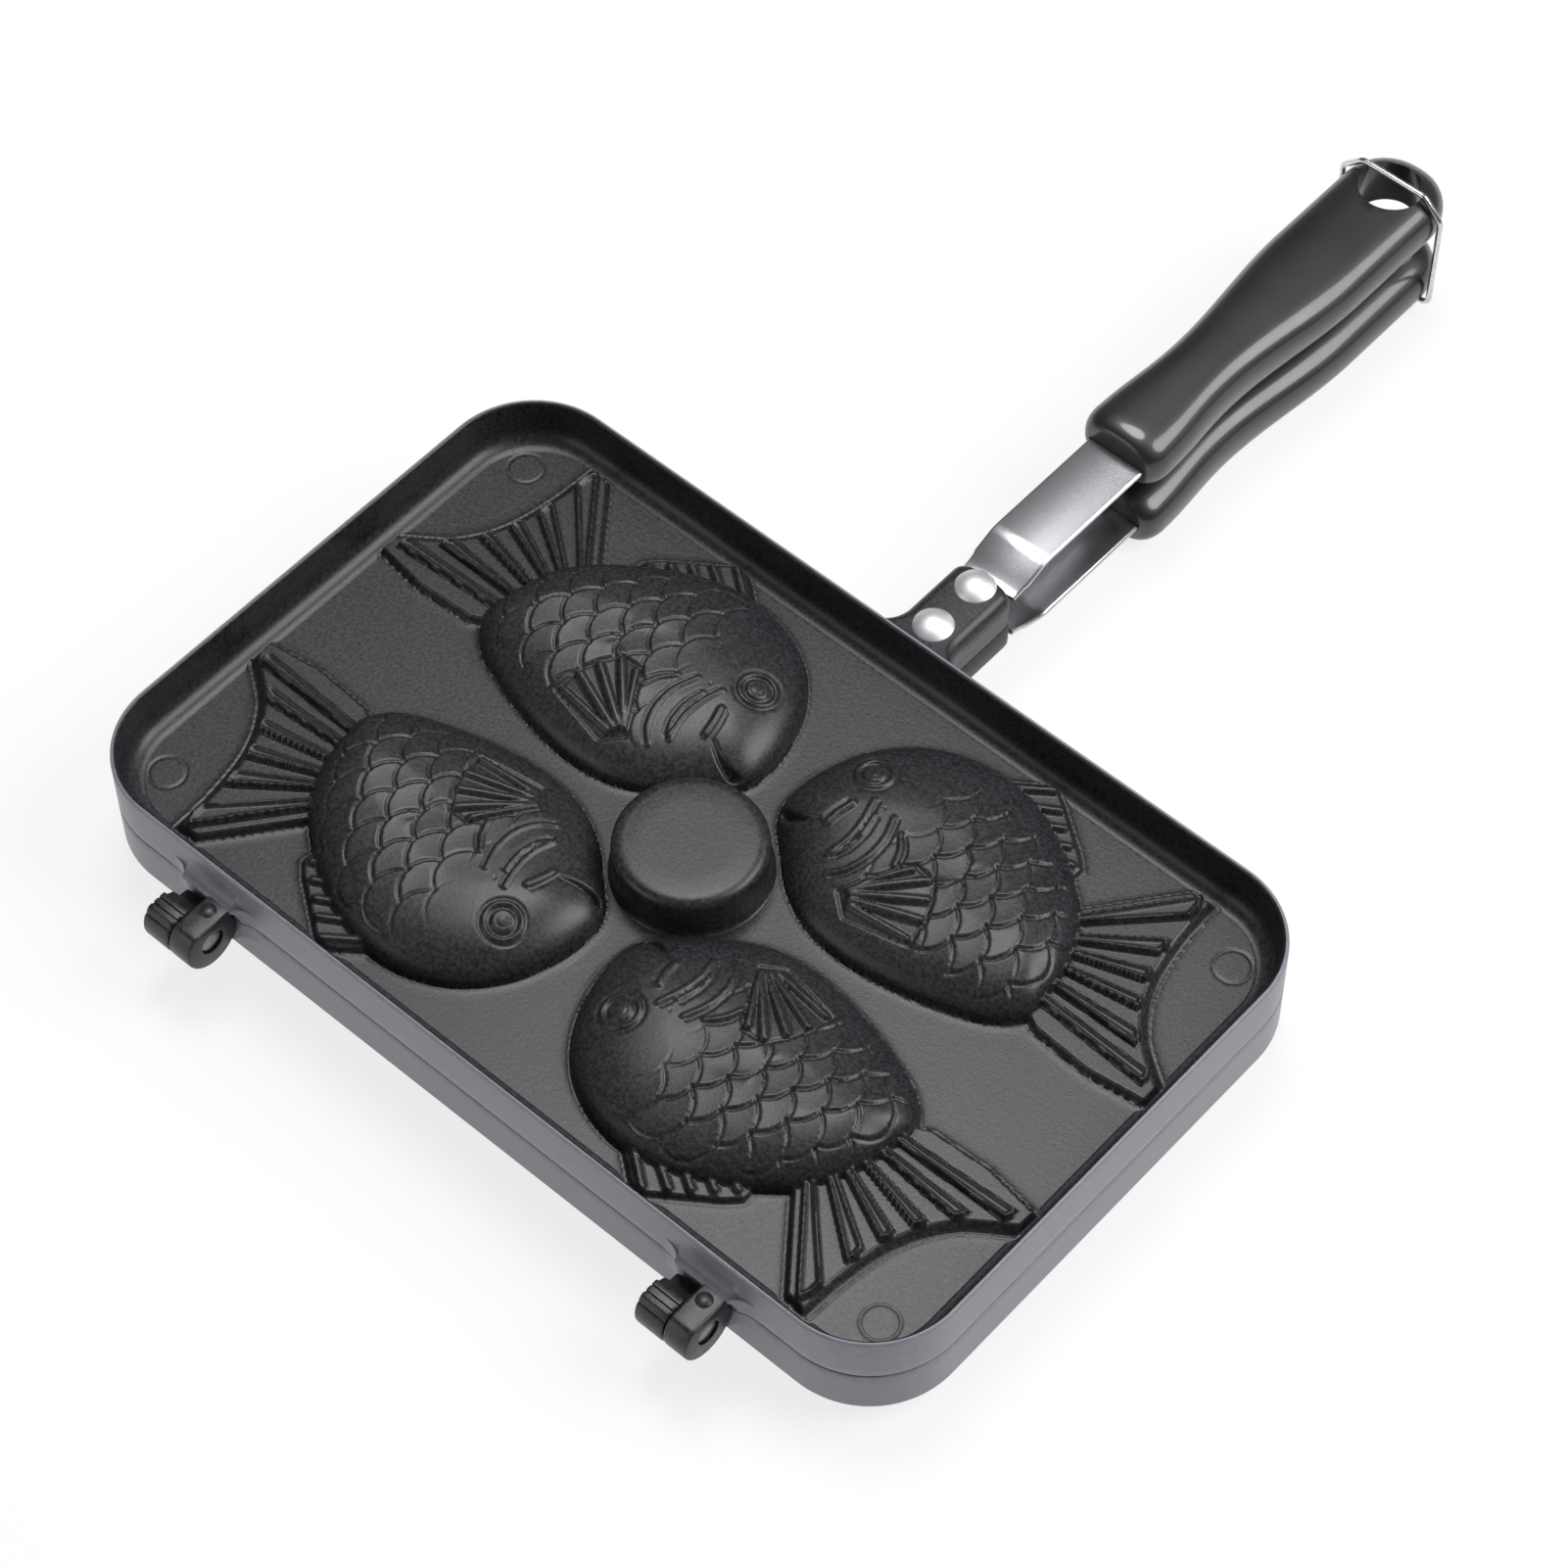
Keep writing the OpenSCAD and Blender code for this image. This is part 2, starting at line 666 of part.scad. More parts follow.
// Where the wire's ends stop inside the grip
function end_inner_x() = end_w - 1.7 - bail_end_l;

module upper_grip() {
    color("#17181a") upper_place() grip();
}

module lower_grip() {
    color("#17181a")
        difference() {
            lower_place() grip();
            for (s = [-1, 1])
                translate([s * (end_inner_x() - 0.3), bail_y, half_h - bail_drop])
                    rotate([0, s * 90, 0]) cylinder(r = wire_r + run_gap, h = 8);
        }
}

module lower_strap() {
    color("#c9cbce") lower_place() strap();
}

module upper_strap() {
    color("#c9cbce") upper_place() strap();
}

lower_pan();
upper_pan();
hinge_pin(-1);  // left_hinge_pin
hinge_pin(1);  // right_hinge_pin
lower_strap();
upper_strap();
color("#d5d7d9") lower_place() rivet(rivet_y1);  // lower_rivet_near
color("#d5d7d9") lower_place() rivet(rivet_y2);  // lower_rivet_far
color("#d5d7d9") upper_place() rivet(rivet_y1);  // upper_rivet_near
color("#d5d7d9") upper_place() rivet(rivet_y2);  // upper_rivet_far
lower_grip();
upper_grip();
color("#8f9194") lower_place() grip_screw();  // lower_grip_screw
color("#8f9194") upper_place() grip_screw();  // upper_grip_screw
wire_bail();
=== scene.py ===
from math import atan2, copysign, cos, pi, radians, sin, sqrt, tan

import bmesh
import bpy
import numpy as np
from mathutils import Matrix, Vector


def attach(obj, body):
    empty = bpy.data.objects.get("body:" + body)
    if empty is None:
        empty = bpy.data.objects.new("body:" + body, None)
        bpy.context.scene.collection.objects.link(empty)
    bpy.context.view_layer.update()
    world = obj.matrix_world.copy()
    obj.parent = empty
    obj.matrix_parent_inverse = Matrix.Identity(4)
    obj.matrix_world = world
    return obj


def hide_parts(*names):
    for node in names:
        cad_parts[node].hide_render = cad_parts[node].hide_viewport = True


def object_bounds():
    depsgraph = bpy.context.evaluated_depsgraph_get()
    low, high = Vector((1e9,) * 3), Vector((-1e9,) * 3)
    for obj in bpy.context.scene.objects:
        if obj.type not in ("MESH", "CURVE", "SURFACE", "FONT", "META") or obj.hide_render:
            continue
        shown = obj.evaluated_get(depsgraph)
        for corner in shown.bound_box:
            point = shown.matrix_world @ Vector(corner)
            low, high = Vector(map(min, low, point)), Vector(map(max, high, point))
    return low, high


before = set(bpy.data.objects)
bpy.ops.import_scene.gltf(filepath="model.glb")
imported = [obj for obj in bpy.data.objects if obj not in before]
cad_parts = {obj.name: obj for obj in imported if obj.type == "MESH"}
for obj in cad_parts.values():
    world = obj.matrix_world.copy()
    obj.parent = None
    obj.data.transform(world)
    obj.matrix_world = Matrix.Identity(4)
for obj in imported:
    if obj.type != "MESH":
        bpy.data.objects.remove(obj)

# Stovetop press for four fish shaped cakes. Sizes here are in millimetres and
# are turned to metres as each mesh is made. Heights of the two halves are
# measured from the plane where they meet.
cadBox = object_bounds()
mm = 0.001


# Camera, at the photograph's angle
cameraSettings = {
    "place": (0.42556, -0.43709, 0.90739),
    "turnDegrees": (35.380, 0.424, 41.619),
    "lensMm": 107.5,
    "sensorMm": 36,
}


def makeCamera(s):
    turn = [radians(a) for a in s["turnDegrees"]]
    bpy.ops.object.camera_add(location=s["place"], rotation=turn)
    camera = bpy.context.object
    camera.data.lens = s["lensMm"]
    camera.data.sensor_width = s["sensorMm"]
    bpy.context.scene.camera = camera


makeCamera(cameraSettings)
bpy.context.scene.view_settings.view_transform = "Standard"


# Materials: colours are sRGB as seen, and sizes of patterns are in millimetres
def linearColour(hexText):
    channels = [int(hexText[i:i + 2], 16) / 255 for i in (1, 3, 5)]
    return [c / 12.92 if c <= 0.04045 else ((c + 0.055) / 1.055) ** 2.4 for c in channels] + [1.0]


def addNode(tree, kind, settings=None, links=None):
    node = tree.nodes.new("ShaderNode" + kind)
    for name, value in (settings or {}).items():
        if isinstance(name, int) or name in node.inputs:
            node.inputs[name].default_value = value
        else:
            setattr(node, name, value)
    for name, source in (links or {}).items():
        tree.links.new(source, node.inputs[name])
    return node


def startMaterial(name):
    material = bpy.data.materials.new(name)
    material.use_nodes = True
    material.node_tree.nodes.clear()
    tree = material.node_tree
    coords = addNode(tree, "TexCoord").outputs["Object"]
    return material, tree, coords


def endMaterial(material, tree, settings, colour, rough, normal):
    links = {"Base Color": colour, "Roughness": rough, "Normal": normal}
    shader = addNode(tree, "BsdfPrincipled", settings, links)
    addNode(tree, "OutputMaterial", links={"Surface": shader.outputs["BSDF"]})
    return material


def noise(tree, vector, sizeMm, detail=1.0, roughness=0.5):
    # Scaled so that one feature of the pattern is about this long
    settings = {"Scale": 1 / (sizeMm * mm), "Detail": detail, "Roughness": roughness}
    return addNode(tree, "TexNoise", settings, {"Vector": vector}).outputs["Fac"]


def mixTwo(tree, share, hexA, hexB):
    settings = {"data_type": "RGBA", 6: linearColour(hexA), 7: linearColour(hexB)}
    return addNode(tree, "Mix", settings, {0: share}).outputs[2]


def rampShare(tree, source, span, out=(0.0, 1.0)):
    settings = {"From Min": span[0], "From Max": span[1], "To Min": out[0], "To Max": out[1]}
    return addNode(tree, "MapRange", settings, {"Value": source}).outputs["Result"]


def bumped(tree, height, strength, depthMm):
    settings = {"Strength": strength, "Distance": depthMm * mm}
    return addNode(tree, "Bump", settings, {"Height": height}).outputs["Normal"]


# Most values of a noise texture lie in this span
noiseSpan = (0.3, 0.7)

coatSettings = {
    "dark": "#18191b",
    "light": "#303134",
    "grain": {"sizeMm": 1.0, "detail": 3.0, "roughness": 0.6},
    "fleck": {"sizeMm": 0.45},
    "fleckShare": 0.5,
    "speckle": (0.62, 0.90),
    "rough": (0.33, 0.41),
    "bump": (0.6, 0.055),
    "ior": 1.45,
}


# Sprayed PTFE coat on cast aluminium: satin charcoal with a fine paler speckle
def nonStickCoat(s):
    material, tree, coords = startMaterial("nonStickCoat")
    grain = noise(tree, coords, **s["grain"])
    fleck = noise(tree, coords, **s["fleck"])
    sumUp = {"operation": "MULTIPLY_ADD", 1: s["fleckShare"]}
    both = addNode(tree, "Math", sumUp, {0: fleck, 2: grain}).outputs[0]
    colour = mixTwo(tree, rampShare(tree, both, s["speckle"]), s["dark"], s["light"])
    rough = rampShare(tree, grain, noiseSpan, s["rough"])
    normal = bumped(tree, both, *s["bump"])
    return endMaterial(material, tree, {"IOR": s["ior"]}, colour, rough, normal)


# Outer wall tones: partly the exterior's grey paint, partly painted light from the bright floor
wallPaintAndLightSettings = {
    "dark": "#72737a",
    "light": "#7d7e86",
    "cloud": {"sizeMm": 2.5, "detail": 2.0},
    "fleck": {"sizeMm": 0.3},
    "rough": (0.34, 0.42),
    "bump": (0.5, 0.01),
    "ior": 1.5,
}


# The coat on the outer walls: smoother, more even and paler. The paler tone is partly the exterior's own grey
# paint and partly painted light, raised to stand in for the light the walls catch from the bright floor.
def paleWallCoatAndPaintedLight(s):
    material, tree, coords = startMaterial("paleWallCoatAndPaintedLight")
    cloud = noise(tree, coords, **s["cloud"])
    fleck = noise(tree, coords, **s["fleck"])
    colour = mixTwo(tree, rampShare(tree, cloud, noiseSpan), s["dark"], s["light"])
    rough = rampShare(tree, cloud, noiseSpan, s["rough"])
    normal = bumped(tree, fleck, *s["bump"])
    return endMaterial(material, tree, {"IOR": s["ior"]}, colour, rough, normal)


gripSettings = {
    "black": "#0a0a0b",
    "worn": "#121214",
    "cloud": {"sizeMm": 18, "detail": 2.0},
    "ripple": {"sizeMm": 5},
    "rough": (0.38, 0.46),
    "bump": (0.5, 0.012),
    "shader": {"IOR": 1.58, "Coat Weight": 0.6, "Coat Roughness": 0.11},
}


# Compression moulded phenolic: deep black, softly shining, under a hard glossy moulding skin
def phenolicBlack(s):
    material, tree, coords = startMaterial("phenolicBlack")
    cloud = noise(tree, coords, **s["cloud"])
    ripple = noise(tree, coords, **s["ripple"])
    colour = mixTwo(tree, cloud, s["black"], s["worn"])
    rough = rampShare(tree, cloud, noiseSpan, s["rough"])
    normal = bumped(tree, ripple, *s["bump"])
    return endMaterial(material, tree, s["shader"], colour, rough, normal)


# Metals: colours, roughness, scratch spacing and, where scratches run one way, their X, Y, Z scale
metalSettings = {
    # Rolled stainless strip: mid grey mirror blurred by fine cross lines
    "rolledStainless": {
        "tint": "#c6c7ca", "dull": "#bbbcc0", "rough": (0.24, 0.27), "lineMm": 1.1, "stretch": (1, 0.25, 1),
    },
    # Turned aluminium rivets: near white and matt
    "turnedAluminium": {
        "tint": "#f4f4f5", "dull": "#e6e7e9", "rough": (0.46, 0.56), "lineMm": 0.8,
    },
    # Turned steel pins: darker, with lines round the pin
    "turnedSteel": {
        "tint": "#8d8e91", "dull": "#6f7073", "rough": (0.28, 0.40), "lineMm": 0.4, "stretch": (0.1, 1, 1),
    },
    # Zinc plated screws: mid grey, a little cloudy
    "zincPlate": {
        "tint": "#a5a6a9", "dull": "#86878a", "rough": (0.28, 0.42), "lineMm": 0.5,
    },
    # Drawn spring wire: bright
    "springWire": {
        "tint": "#d9dadc", "dull": "#bebfc2", "rough": (0.12, 0.22), "lineMm": 0.6,
    },
}
scratchSettings = {"detail": 3.0, "streak": (0.35, 0.65), "bump": (0.3, 0.008)}


def bareMetal(name, s, scratch):
    material, tree, coords = startMaterial(name)
    drawn = addNode(tree, "Mapping", {"Scale": s.get("stretch", (1, 1, 1))}, {"Vector": coords})
    grain = noise(tree, drawn.outputs["Vector"], s["lineMm"], scratch["detail"])
    colour = mixTwo(tree, rampShare(tree, grain, scratch["streak"]), s["tint"], s["dull"])
    rough = rampShare(tree, grain, noiseSpan, s["rough"])
    normal = bumped(tree, grain, *scratch["bump"])
    return endMaterial(material, tree, {"Metallic": 1.0}, colour, rough, normal)


coat = nonStickCoat(coatSettings)
wallCoatWithPaintedLight = paleWallCoatAndPaintedLight(wallPaintAndLightSettings)
gripBlack = phenolicBlack(gripSettings)
metals = {name: bareMetal(name, s, scratchSettings) for name, s in metalSettings.items()}
print("materials made")


# Small tools for shaping meshes
def leaveEditMode():
    bpy.ops.object.mode_set(mode="OBJECT")


def deselectAll():
    if bpy.context.object and bpy.context.object.mode != "OBJECT":
        leaveEditMode()
    bpy.ops.object.select_all(action="DESELECT")


def makeActive(obj):
    deselectAll()
    obj.select_set(True)
    bpy.context.view_layer.objects.active = obj


def editAll(obj):
    makeActive(obj)
    bpy.ops.object.mode_set(mode="EDIT")
    bpy.ops.mesh.select_all(action="SELECT")


def meshPoints(obj):
    co = np.empty(len(obj.data.vertices) * 3)
    obj.data.vertices.foreach_get("co", co)
    return co.reshape(-1, 3)


def setMeshPoints(obj, points):
    obj.data.vertices.foreach_set("co", np.asarray(points, float).ravel())
    obj.data.update()


def weldAndFaceOut(obj, gapMm=0.001):
    editAll(obj)
    bpy.ops.mesh.remove_doubles(threshold=gapMm * mm)
    bpy.ops.mesh.normals_make_consistent(inside=False)
    leaveEditMode()


def smoothBelow(obj, degrees):
    makeActive(obj)
    bpy.ops.object.shade_smooth_by_angle(angle=radians(degrees))


def applyModifier(obj, kind, **settings):
    makeActive(obj)
    bpy.ops.object.modifier_add(type=kind)
    modifier = obj.modifiers[-1]
    for name, value in settings.items():
        setattr(modifier, name, value)
    bpy.ops.object.modifier_apply(modifier=modifier.name)


def bevelEdges(obj, widthMm, segments):
    applyModifier(
        obj, "BEVEL", width=widthMm * mm, segments=segments, limit_method="ANGLE",
        angle_limit=radians(38),
    )


def makeCylinder(name, radius, depth, sides, place, turn=(0, 0, 0)):
    deselectAll()
    bpy.ops.mesh.primitive_cylinder_add(
        radius=radius * mm, depth=depth * mm, vertices=sides, location=[v * mm for v in place], rotation=turn,
    )
    bpy.ops.object.transform_apply(location=True, rotation=True, scale=True)
    bpy.context.object.name = name
    return bpy.context.object


def cutAway(piece, cutter):
    applyModifier(piece, "BOOLEAN", operation="DIFFERENCE", solver="EXACT", object=cutter)
    bpy.data.objects.remove(cutter)


def gridSheet(name, columns, rows):
    # A flat sheet of quads; returns it with each vertex's column and row
    deselectAll()
    bpy.ops.mesh.primitive_grid_add(x_subdivisions=columns, y_subdivisions=rows, size=1)
    sheet = bpy.context.object
    sheet.name = name
    co = meshPoints(sheet)
    column = np.rint((co[:, 0] + 0.5) * columns).astype(int)
    row = np.rint((co[:, 1] + 0.5) * rows).astype(int)
    return sheet, column, row


def rolledSheet(name, points, capEnds=False):
    # Rolls a sheet onto a net of points [row][column]; ends that meet are welded
    points = np.asarray(points, float)
    rows, columns = points.shape[0] - 1, points.shape[1] - 1
    sheet, column, row = gridSheet(name, columns, rows)
    setMeshPoints(sheet, points[row, column] * mm)
    weldAndFaceOut(sheet)
    if capEnds:
        bpy.ops.object.mode_set(mode="EDIT")
        bpy.ops.mesh.select_mode(type="VERT")
        bpy.ops.mesh.select_all(action="DESELECT")
        bpy.ops.mesh.select_non_manifold()
        bpy.ops.mesh.fill_holes(sides=0)
        bpy.ops.mesh.select_all(action="SELECT")
        bpy.ops.mesh.normals_make_consistent(inside=False)
        leaveEditMode()
    return sheet


def dress(obj, material, slotName, body, *nodes):
    if material:
        obj.data.materials.clear()
        obj.data.materials.append(material)
    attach(obj, body)
    if nodes:
        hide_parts(*nodes)
    return obj


def smoothStep(low, high, value):
    t = np.clip((value - low) / (high - low), 0, 1)
    return t * t * (3 - 2 * t)


def smoothCurve(points, perSpan=6, closed=False):
    # A curve through the points, with this many steps between two of them
    p = np.array(points, float)
    n = len(p)
    curve = []
    for i in range(n if closed else n - 1):
        b, c = p[i], p[(i + 1) % n]
        a = p[i - 1] if closed or i > 0 else 2 * b - c
        d = p[(i + 2) % n] if closed or i + 2 < n else 2 * c - b
        slope, bend, twist = c - a, 2 * a - 5 * b + 4 * c - d, 3 * b - a - 3 * c + d
        for k in range(perSpan):
            u = k / perSpan
            curve.append((2 * b + slope * u + bend * u * u + twist * u ** 3) / 2)
    curve.append(curve[0] if closed else p[-1])
    return np.array(curve)


def closedLoop(points):
    return np.array(list(points) + [tuple(points[0])], float)


def nearestOnPath(xy, path):
    # Distance to a run of straight steps, and the nearest point on it
    path = np.asarray(path, float)
    best = np.full(len(xy), 1e9)
    near = np.zeros_like(xy)
    for a, b in zip(path[:-1], path[1:]):
        d = b - a
        t = np.clip(((xy - a) @ d) / (d @ d), 0, 1)
        spot = a + t[:, None] * d
        r = np.hypot(*(xy - spot).T)
        closer = r < best
        best[closer] = r[closer]
        near[closer] = spot[closer]
    return best, near


def insideOutline(xy, loop):
    x, y = xy.T
    within = np.zeros(len(xy), bool)
    for a, b in zip(loop[:-1], loop[1:]):
        crosses = (a[1] > y) != (b[1] > y)
        edgeX = (b[0] - a[0]) * (y - a[1]) / (b[1] - a[1] + 1e-12) + a[0]
        within ^= crosses & (x < edgeX)
    return within


def depthInside(xy, loop):
    # Distance from a closed outline, above 0 inside it
    r, near = nearestOnPath(xy, loop)
    return np.where(insideOutline(xy, loop), r, -r), near


def lineRelief(xy, path, width, height):
    r = nearestOnPath(xy, path)[0]
    return height * (1 - smoothStep(0.15 * width, 0.5 * width, r))


def ring(r, at, spread, height):
    return height * np.exp(-((r - at) / spread) ** 2)


# Pan sizes, as the cast halves have them
panSettings = {
    "length": 250,
    "width": 155.4,
    "halfHeight": 13.9,
    "cornerRadius": 24,
    "floorTop": 2.0,
    "floorUnder": 0.15,
    "shell": 2.0,
    "cornerSteps": 28,
}

# One fish mould, in the quarter with X and Y above 0; the others are its mirror images
fishSettings = {
    "height": 12.3,
    "fullness": 0.92,
    "footFillet": 0.4,
    "footReach": 0.6,
    "tailHeight": 5.6,
    "finHeight": 4.2,
    "outline": [
        (4.3, 28.5), (5.3, 39), (9.5, 50), (17, 59), (27, 64.6), (38, 66.6), (50, 65),
        (61, 60), (70.5, 53.5), (78, 46.5), (83, 37.5), (85.2, 28), (85.4, 19.5),
        (79, 12.6), (69, 8.4), (57, 5), (44, 3.2), (31.5, 4.4), (20.5, 9.6), (11.5, 17.5), (6.5, 22.5),
    ],
    "ridge": [(27, 37), (70, 32.5)],
    "tailEdge": [(98, 71.2), (98.9, 58), (101.8, 44.5), (108.5, 33.5), (119, 25.6)],
    "tailLow": [(119.2, 18.4), (104, 16.3), (88, 17.2), (74, 24), (70, 46), (75, 50.4), (91, 70.6)],
    "fin": [(36, 64), (46.8, 72.2), (50.4, 72.4), (65.6, 61.6), (68.8, 58.4), (68.6, 54), (60, 52), (44, 58)],
    "finBars": [
        ((37, 61.5), (49.6, 70.9)), ((43.2, 60.5), (54.3, 67.4)), ((49, 58.6), (58.2, 64.2)),
        ((54.2, 56.4), (62.2, 60.9)), ((59, 54.3), (66, 57.4)),
    ],
    # Tail leaves: root and tip of each side
    "leaves": [
        ((84, 23.0), (115.6, 21.4), (84, 26.0), (115.0, 25.4)),
        ((83, 28.0), (108.2, 28.4), (83, 30.6), (106.6, 32.4)),
        ((82, 32.6), (102.6, 36.2), (81, 34.8), (101.4, 39.8)),
        ((80, 36.4), (99.2, 43.2), (79, 38.4), (98.2, 47.2)),
        ((77, 38.6), (96.8, 50.8), (76, 40.6), (96.2, 56.2)),
        ((74, 41.0), (96.0, 63.4), (73, 43.6), (94.4, 70.4)),
    ],
    "eye": (18.2, 43.4),
    "gills": [
        [(23.6, 37), (25.2, 31.5), (25.8, 25.5), (24.6, 19.5)],
        [(26.4, 33.5), (27.4, 28.5), (27.0, 23.5), (25.6, 20.0)],
        [(30.4, 36), (32.5, 30), (32.6, 24), (30.6, 18.5), (27.6, 15.5)],
        [(34.6, 33.5), (37.4, 30), (39.0, 26)],
    ],
    "sideFin": [(33, 13.5), (42.4, 29.4), (48.4, 29.2), (51.6, 24.6), (53.8, 19.6), (54.6, 13.0), (38, 9.6)],
    "sideBars": [
        ((34.2, 15.4), (42.6, 28.0)), ((35.0, 15.0), (47.6, 28.2)), ((36.0, 14.4), (50.6, 23.8)),
        ((36.8, 13.2), (52.6, 19.0)), ((37.6, 12.0), (53.2, 13.6)),
    ],
    "nostril": [(18.9, 25.8), (19.4, 29.4), (20.4, 33.0)],
    "mouth": [(2, 25.0), (7.2, 23.2), (12.2, 23.6), (16.4, 25.6)],
}

# Scales: lattice of discs, each laid over the next one towards the tail
scaleSettings = {
    "radius": 7.0,
    "alongStep": 4.3,
    "acrossStep": 7.0,
    "firstTip": (35.0, 13.0),
    "columns": 12,
    "rows": 7,
    "behind": 3,
    "lift": 0.36,
    "liftReach": 3.2,
    "groove": {"depth": 0.4, "width": 0.9, "at": 0.4, "spread": 0.38},
    # Spans of X and Y over which the scales fade in; the first leans away from a middle line
    "region": {"x": (33, 47), "lean": 0.25, "middleY": 40, "y": (11, 15)},
}

# Fine lines on a fish: widths and heights, and spans of depth over which edges rise
carveSettings = {
    "fadeIn": (0.015, 0.09),
    "sideFin": {
        "bar": (2.9, 1.25), "sunk": 0.35, "edge": (-0.6, 0.4),
        "groove": 0.4, "grooveIn": (-0.9, -0.1), "grooveOut": (-0.1, 0.7),
    },
    "gill": {"line": (1.7, 0.5), "groove": (1.4, 0.3), "behind": 1.2},
    "nostril": {"line": (2.4, 0.8), "groove": (1.5, 0.25), "behind": 1.6},
    "mouth": {"depth": 3.6, "span": (4, 18), "least": 0.5, "halfWidth": 0.9, "widen": 0.25, "end": 17.5},
    # Rings round the eye: radius, spread and height or depth
    "eye": {
        "lid": (4.4, 0.5, 0.42), "lidGroove": (5.4, 0.5, 0.35), "white": (3.3, 0.42, 0.5),
        "ballRadius": 2.8, "ballHeight": 0.45, "pupil": (1.5, 0.3, 0.16),
    },
    "tail": {
        "grooveDown": 1.4, "sideRise": 1.1, "endRise": 2.6, "tipOut": 0.7, "leafEdge": 0.35,
        "ridge": 0.5, "ridgeUp": (0, 0.35), "ridgeDown": (0.7, 1.25), "sunk": 0.3, "sunkSpan": (0.9, 1.6),
    },
    "fin": {"down": 0.6, "rise": 1.0, "bar": (2.8, 1.2), "barRise": 0.8},
    # The hollow side of the shell
    "inner": {
        "start": 0.07, "reach": 0.93, "relief": 0.55, "reliefSpan": (0.1, 0.2), "inset": 1.2, "leastWall": 0.8,
    },
}


def domeShare(xy, loop, ridge):
    # 0 on the outline, 1 on the ridge line, along straight lines between matching points
    start, end = np.array(ridge[0], float), np.array(ridge[1], float)
    x0, x1 = loop[:, 0].min(), loop[:, 0].max()
    edge = xy.copy()
    for step in range(4):
        u = np.clip((edge[:, 0] - x0) / (x1 - x0), 0, 1)
        centre = start + (end - start) * u[:, None]
        way = xy - centre
        hit = np.full(len(xy), 1e-3)
        for a, b in zip(loop[:-1], loop[1:]):
            e = b - a
            den = way[:, 0] * e[1] - way[:, 1] * e[0]
            den = np.where(np.abs(den) < 1e-9, 1e-9, den)
            rel = a - centre
            t = (rel[:, 0] * e[1] - rel[:, 1] * e[0]) / den
            s = (rel[:, 0] * way[:, 1] - rel[:, 1] * way[:, 0]) / den
            good = (s >= -1e-6) & (s <= 1 + 1e-6) & (t > 0)
            hit = np.where(good, np.maximum(hit, t), hit)
        edge = centre + way * hit[:, None]
    return 1 - 1 / hit


def domeProfile(share, fullness):
    c = np.clip(1 - share, 0, 1) ** (1 / fullness)
    return np.sqrt(np.clip(1 - c * c, 0, 1)) ** fullness


def scaleRelief(xy, s):
    lift = np.zeros(len(xy))
    groove = s["groove"]
    for i in range(s["columns"] - 1, -1, -1):
        for j in range(s["rows"]):
            if (i + j) % 2 == 0:
                continue
            tipX = s["firstTip"][0] + i * s["alongStep"]
            centre = np.array([tipX - s["radius"], s["firstTip"][1] + j * s["acrossStep"]])
            r = np.hypot(*(xy - centre).T)
            ahead = xy[:, 0] > centre[0] - s["behind"]
            inner = ahead & (r < s["radius"])
            outer = ahead & (r >= s["radius"]) & (r < s["radius"] + groove["width"])
            lift[inner] = s["lift"] * np.exp((r[inner] - s["radius"]) / s["liftReach"])
            across = (r[outer] - s["radius"]) / groove["width"]
            lift[outer] -= ring(across, groove["at"], groove["spread"], groove["depth"])
    return lift


def carving(xy, share, f, s, c):
    # Fine relief on a fish body, added to the dome
    x, y = xy.T
    region, fin, gill, nostril = s["region"], c["sideFin"], c["gill"], c["nostril"]
    mouth, eye = c["mouth"], c["eye"]
    lean = region["lean"] * np.abs(y - region["middleY"])
    scaled = smoothStep(*region["x"], x + lean) * smoothStep(*region["y"], y)
    finDepth = depthInside(xy, closedLoop(f["sideFin"]))[0]
    onFin = smoothStep(*fin["edge"], finDepth)
    relief = scaleRelief(xy, s) * scaled * (1 - onFin)
    bars = np.zeros(len(xy))
    for a, b in f["sideBars"]:
        bars = np.maximum(bars, lineRelief(xy, [a, b], *fin["bar"]))
    relief += onFin * (bars - fin["sunk"])
    within = smoothStep(*fin["grooveIn"], finDepth) - smoothStep(*fin["grooveOut"], finDepth)
    relief -= fin["groove"] * within
    for path in f["gills"]:
        curve = smoothCurve(path)
        relief += lineRelief(xy, curve, *gill["line"])
        relief -= lineRelief(xy - (gill["behind"], 0), curve, *gill["groove"])
    r = np.hypot(x - f["eye"][0], y - f["eye"][1])
    relief += ring(r, *eye["lid"]) - ring(r, *eye["lidGroove"])
    relief -= ring(r, *eye["white"])
    ball = np.sqrt(np.clip(1 - (r / eye["ballRadius"]) ** 2, 0, 1))
    relief += eye["ballHeight"] * ball - ring(r, *eye["pupil"])
    curve = smoothCurve(f["nostril"])
    relief += lineRelief(xy, curve, *nostril["line"])
    relief -= lineRelief(xy, curve - (nostril["behind"], 0), *nostril["groove"])
    apart = nearestOnPath(xy, smoothCurve(f["mouth"]))[0]
    depth = mouth["depth"] * (1 - smoothStep(*mouth["span"], x))
    cut = 1 - smoothStep(0.0, mouth["halfWidth"] + mouth["widen"] * depth, apart)
    relief -= (depth + mouth["least"]) * cut * (x < mouth["end"])
    return relief * smoothStep(*c["fadeIn"], share)


def tailOutline(f):
    # The far edge of the tail, and its whole outline
    edge = smoothCurve(f["tailEdge"], 8)
    return edge, np.array(list(edge) + f["tailLow"] + [tuple(edge[0])], float)


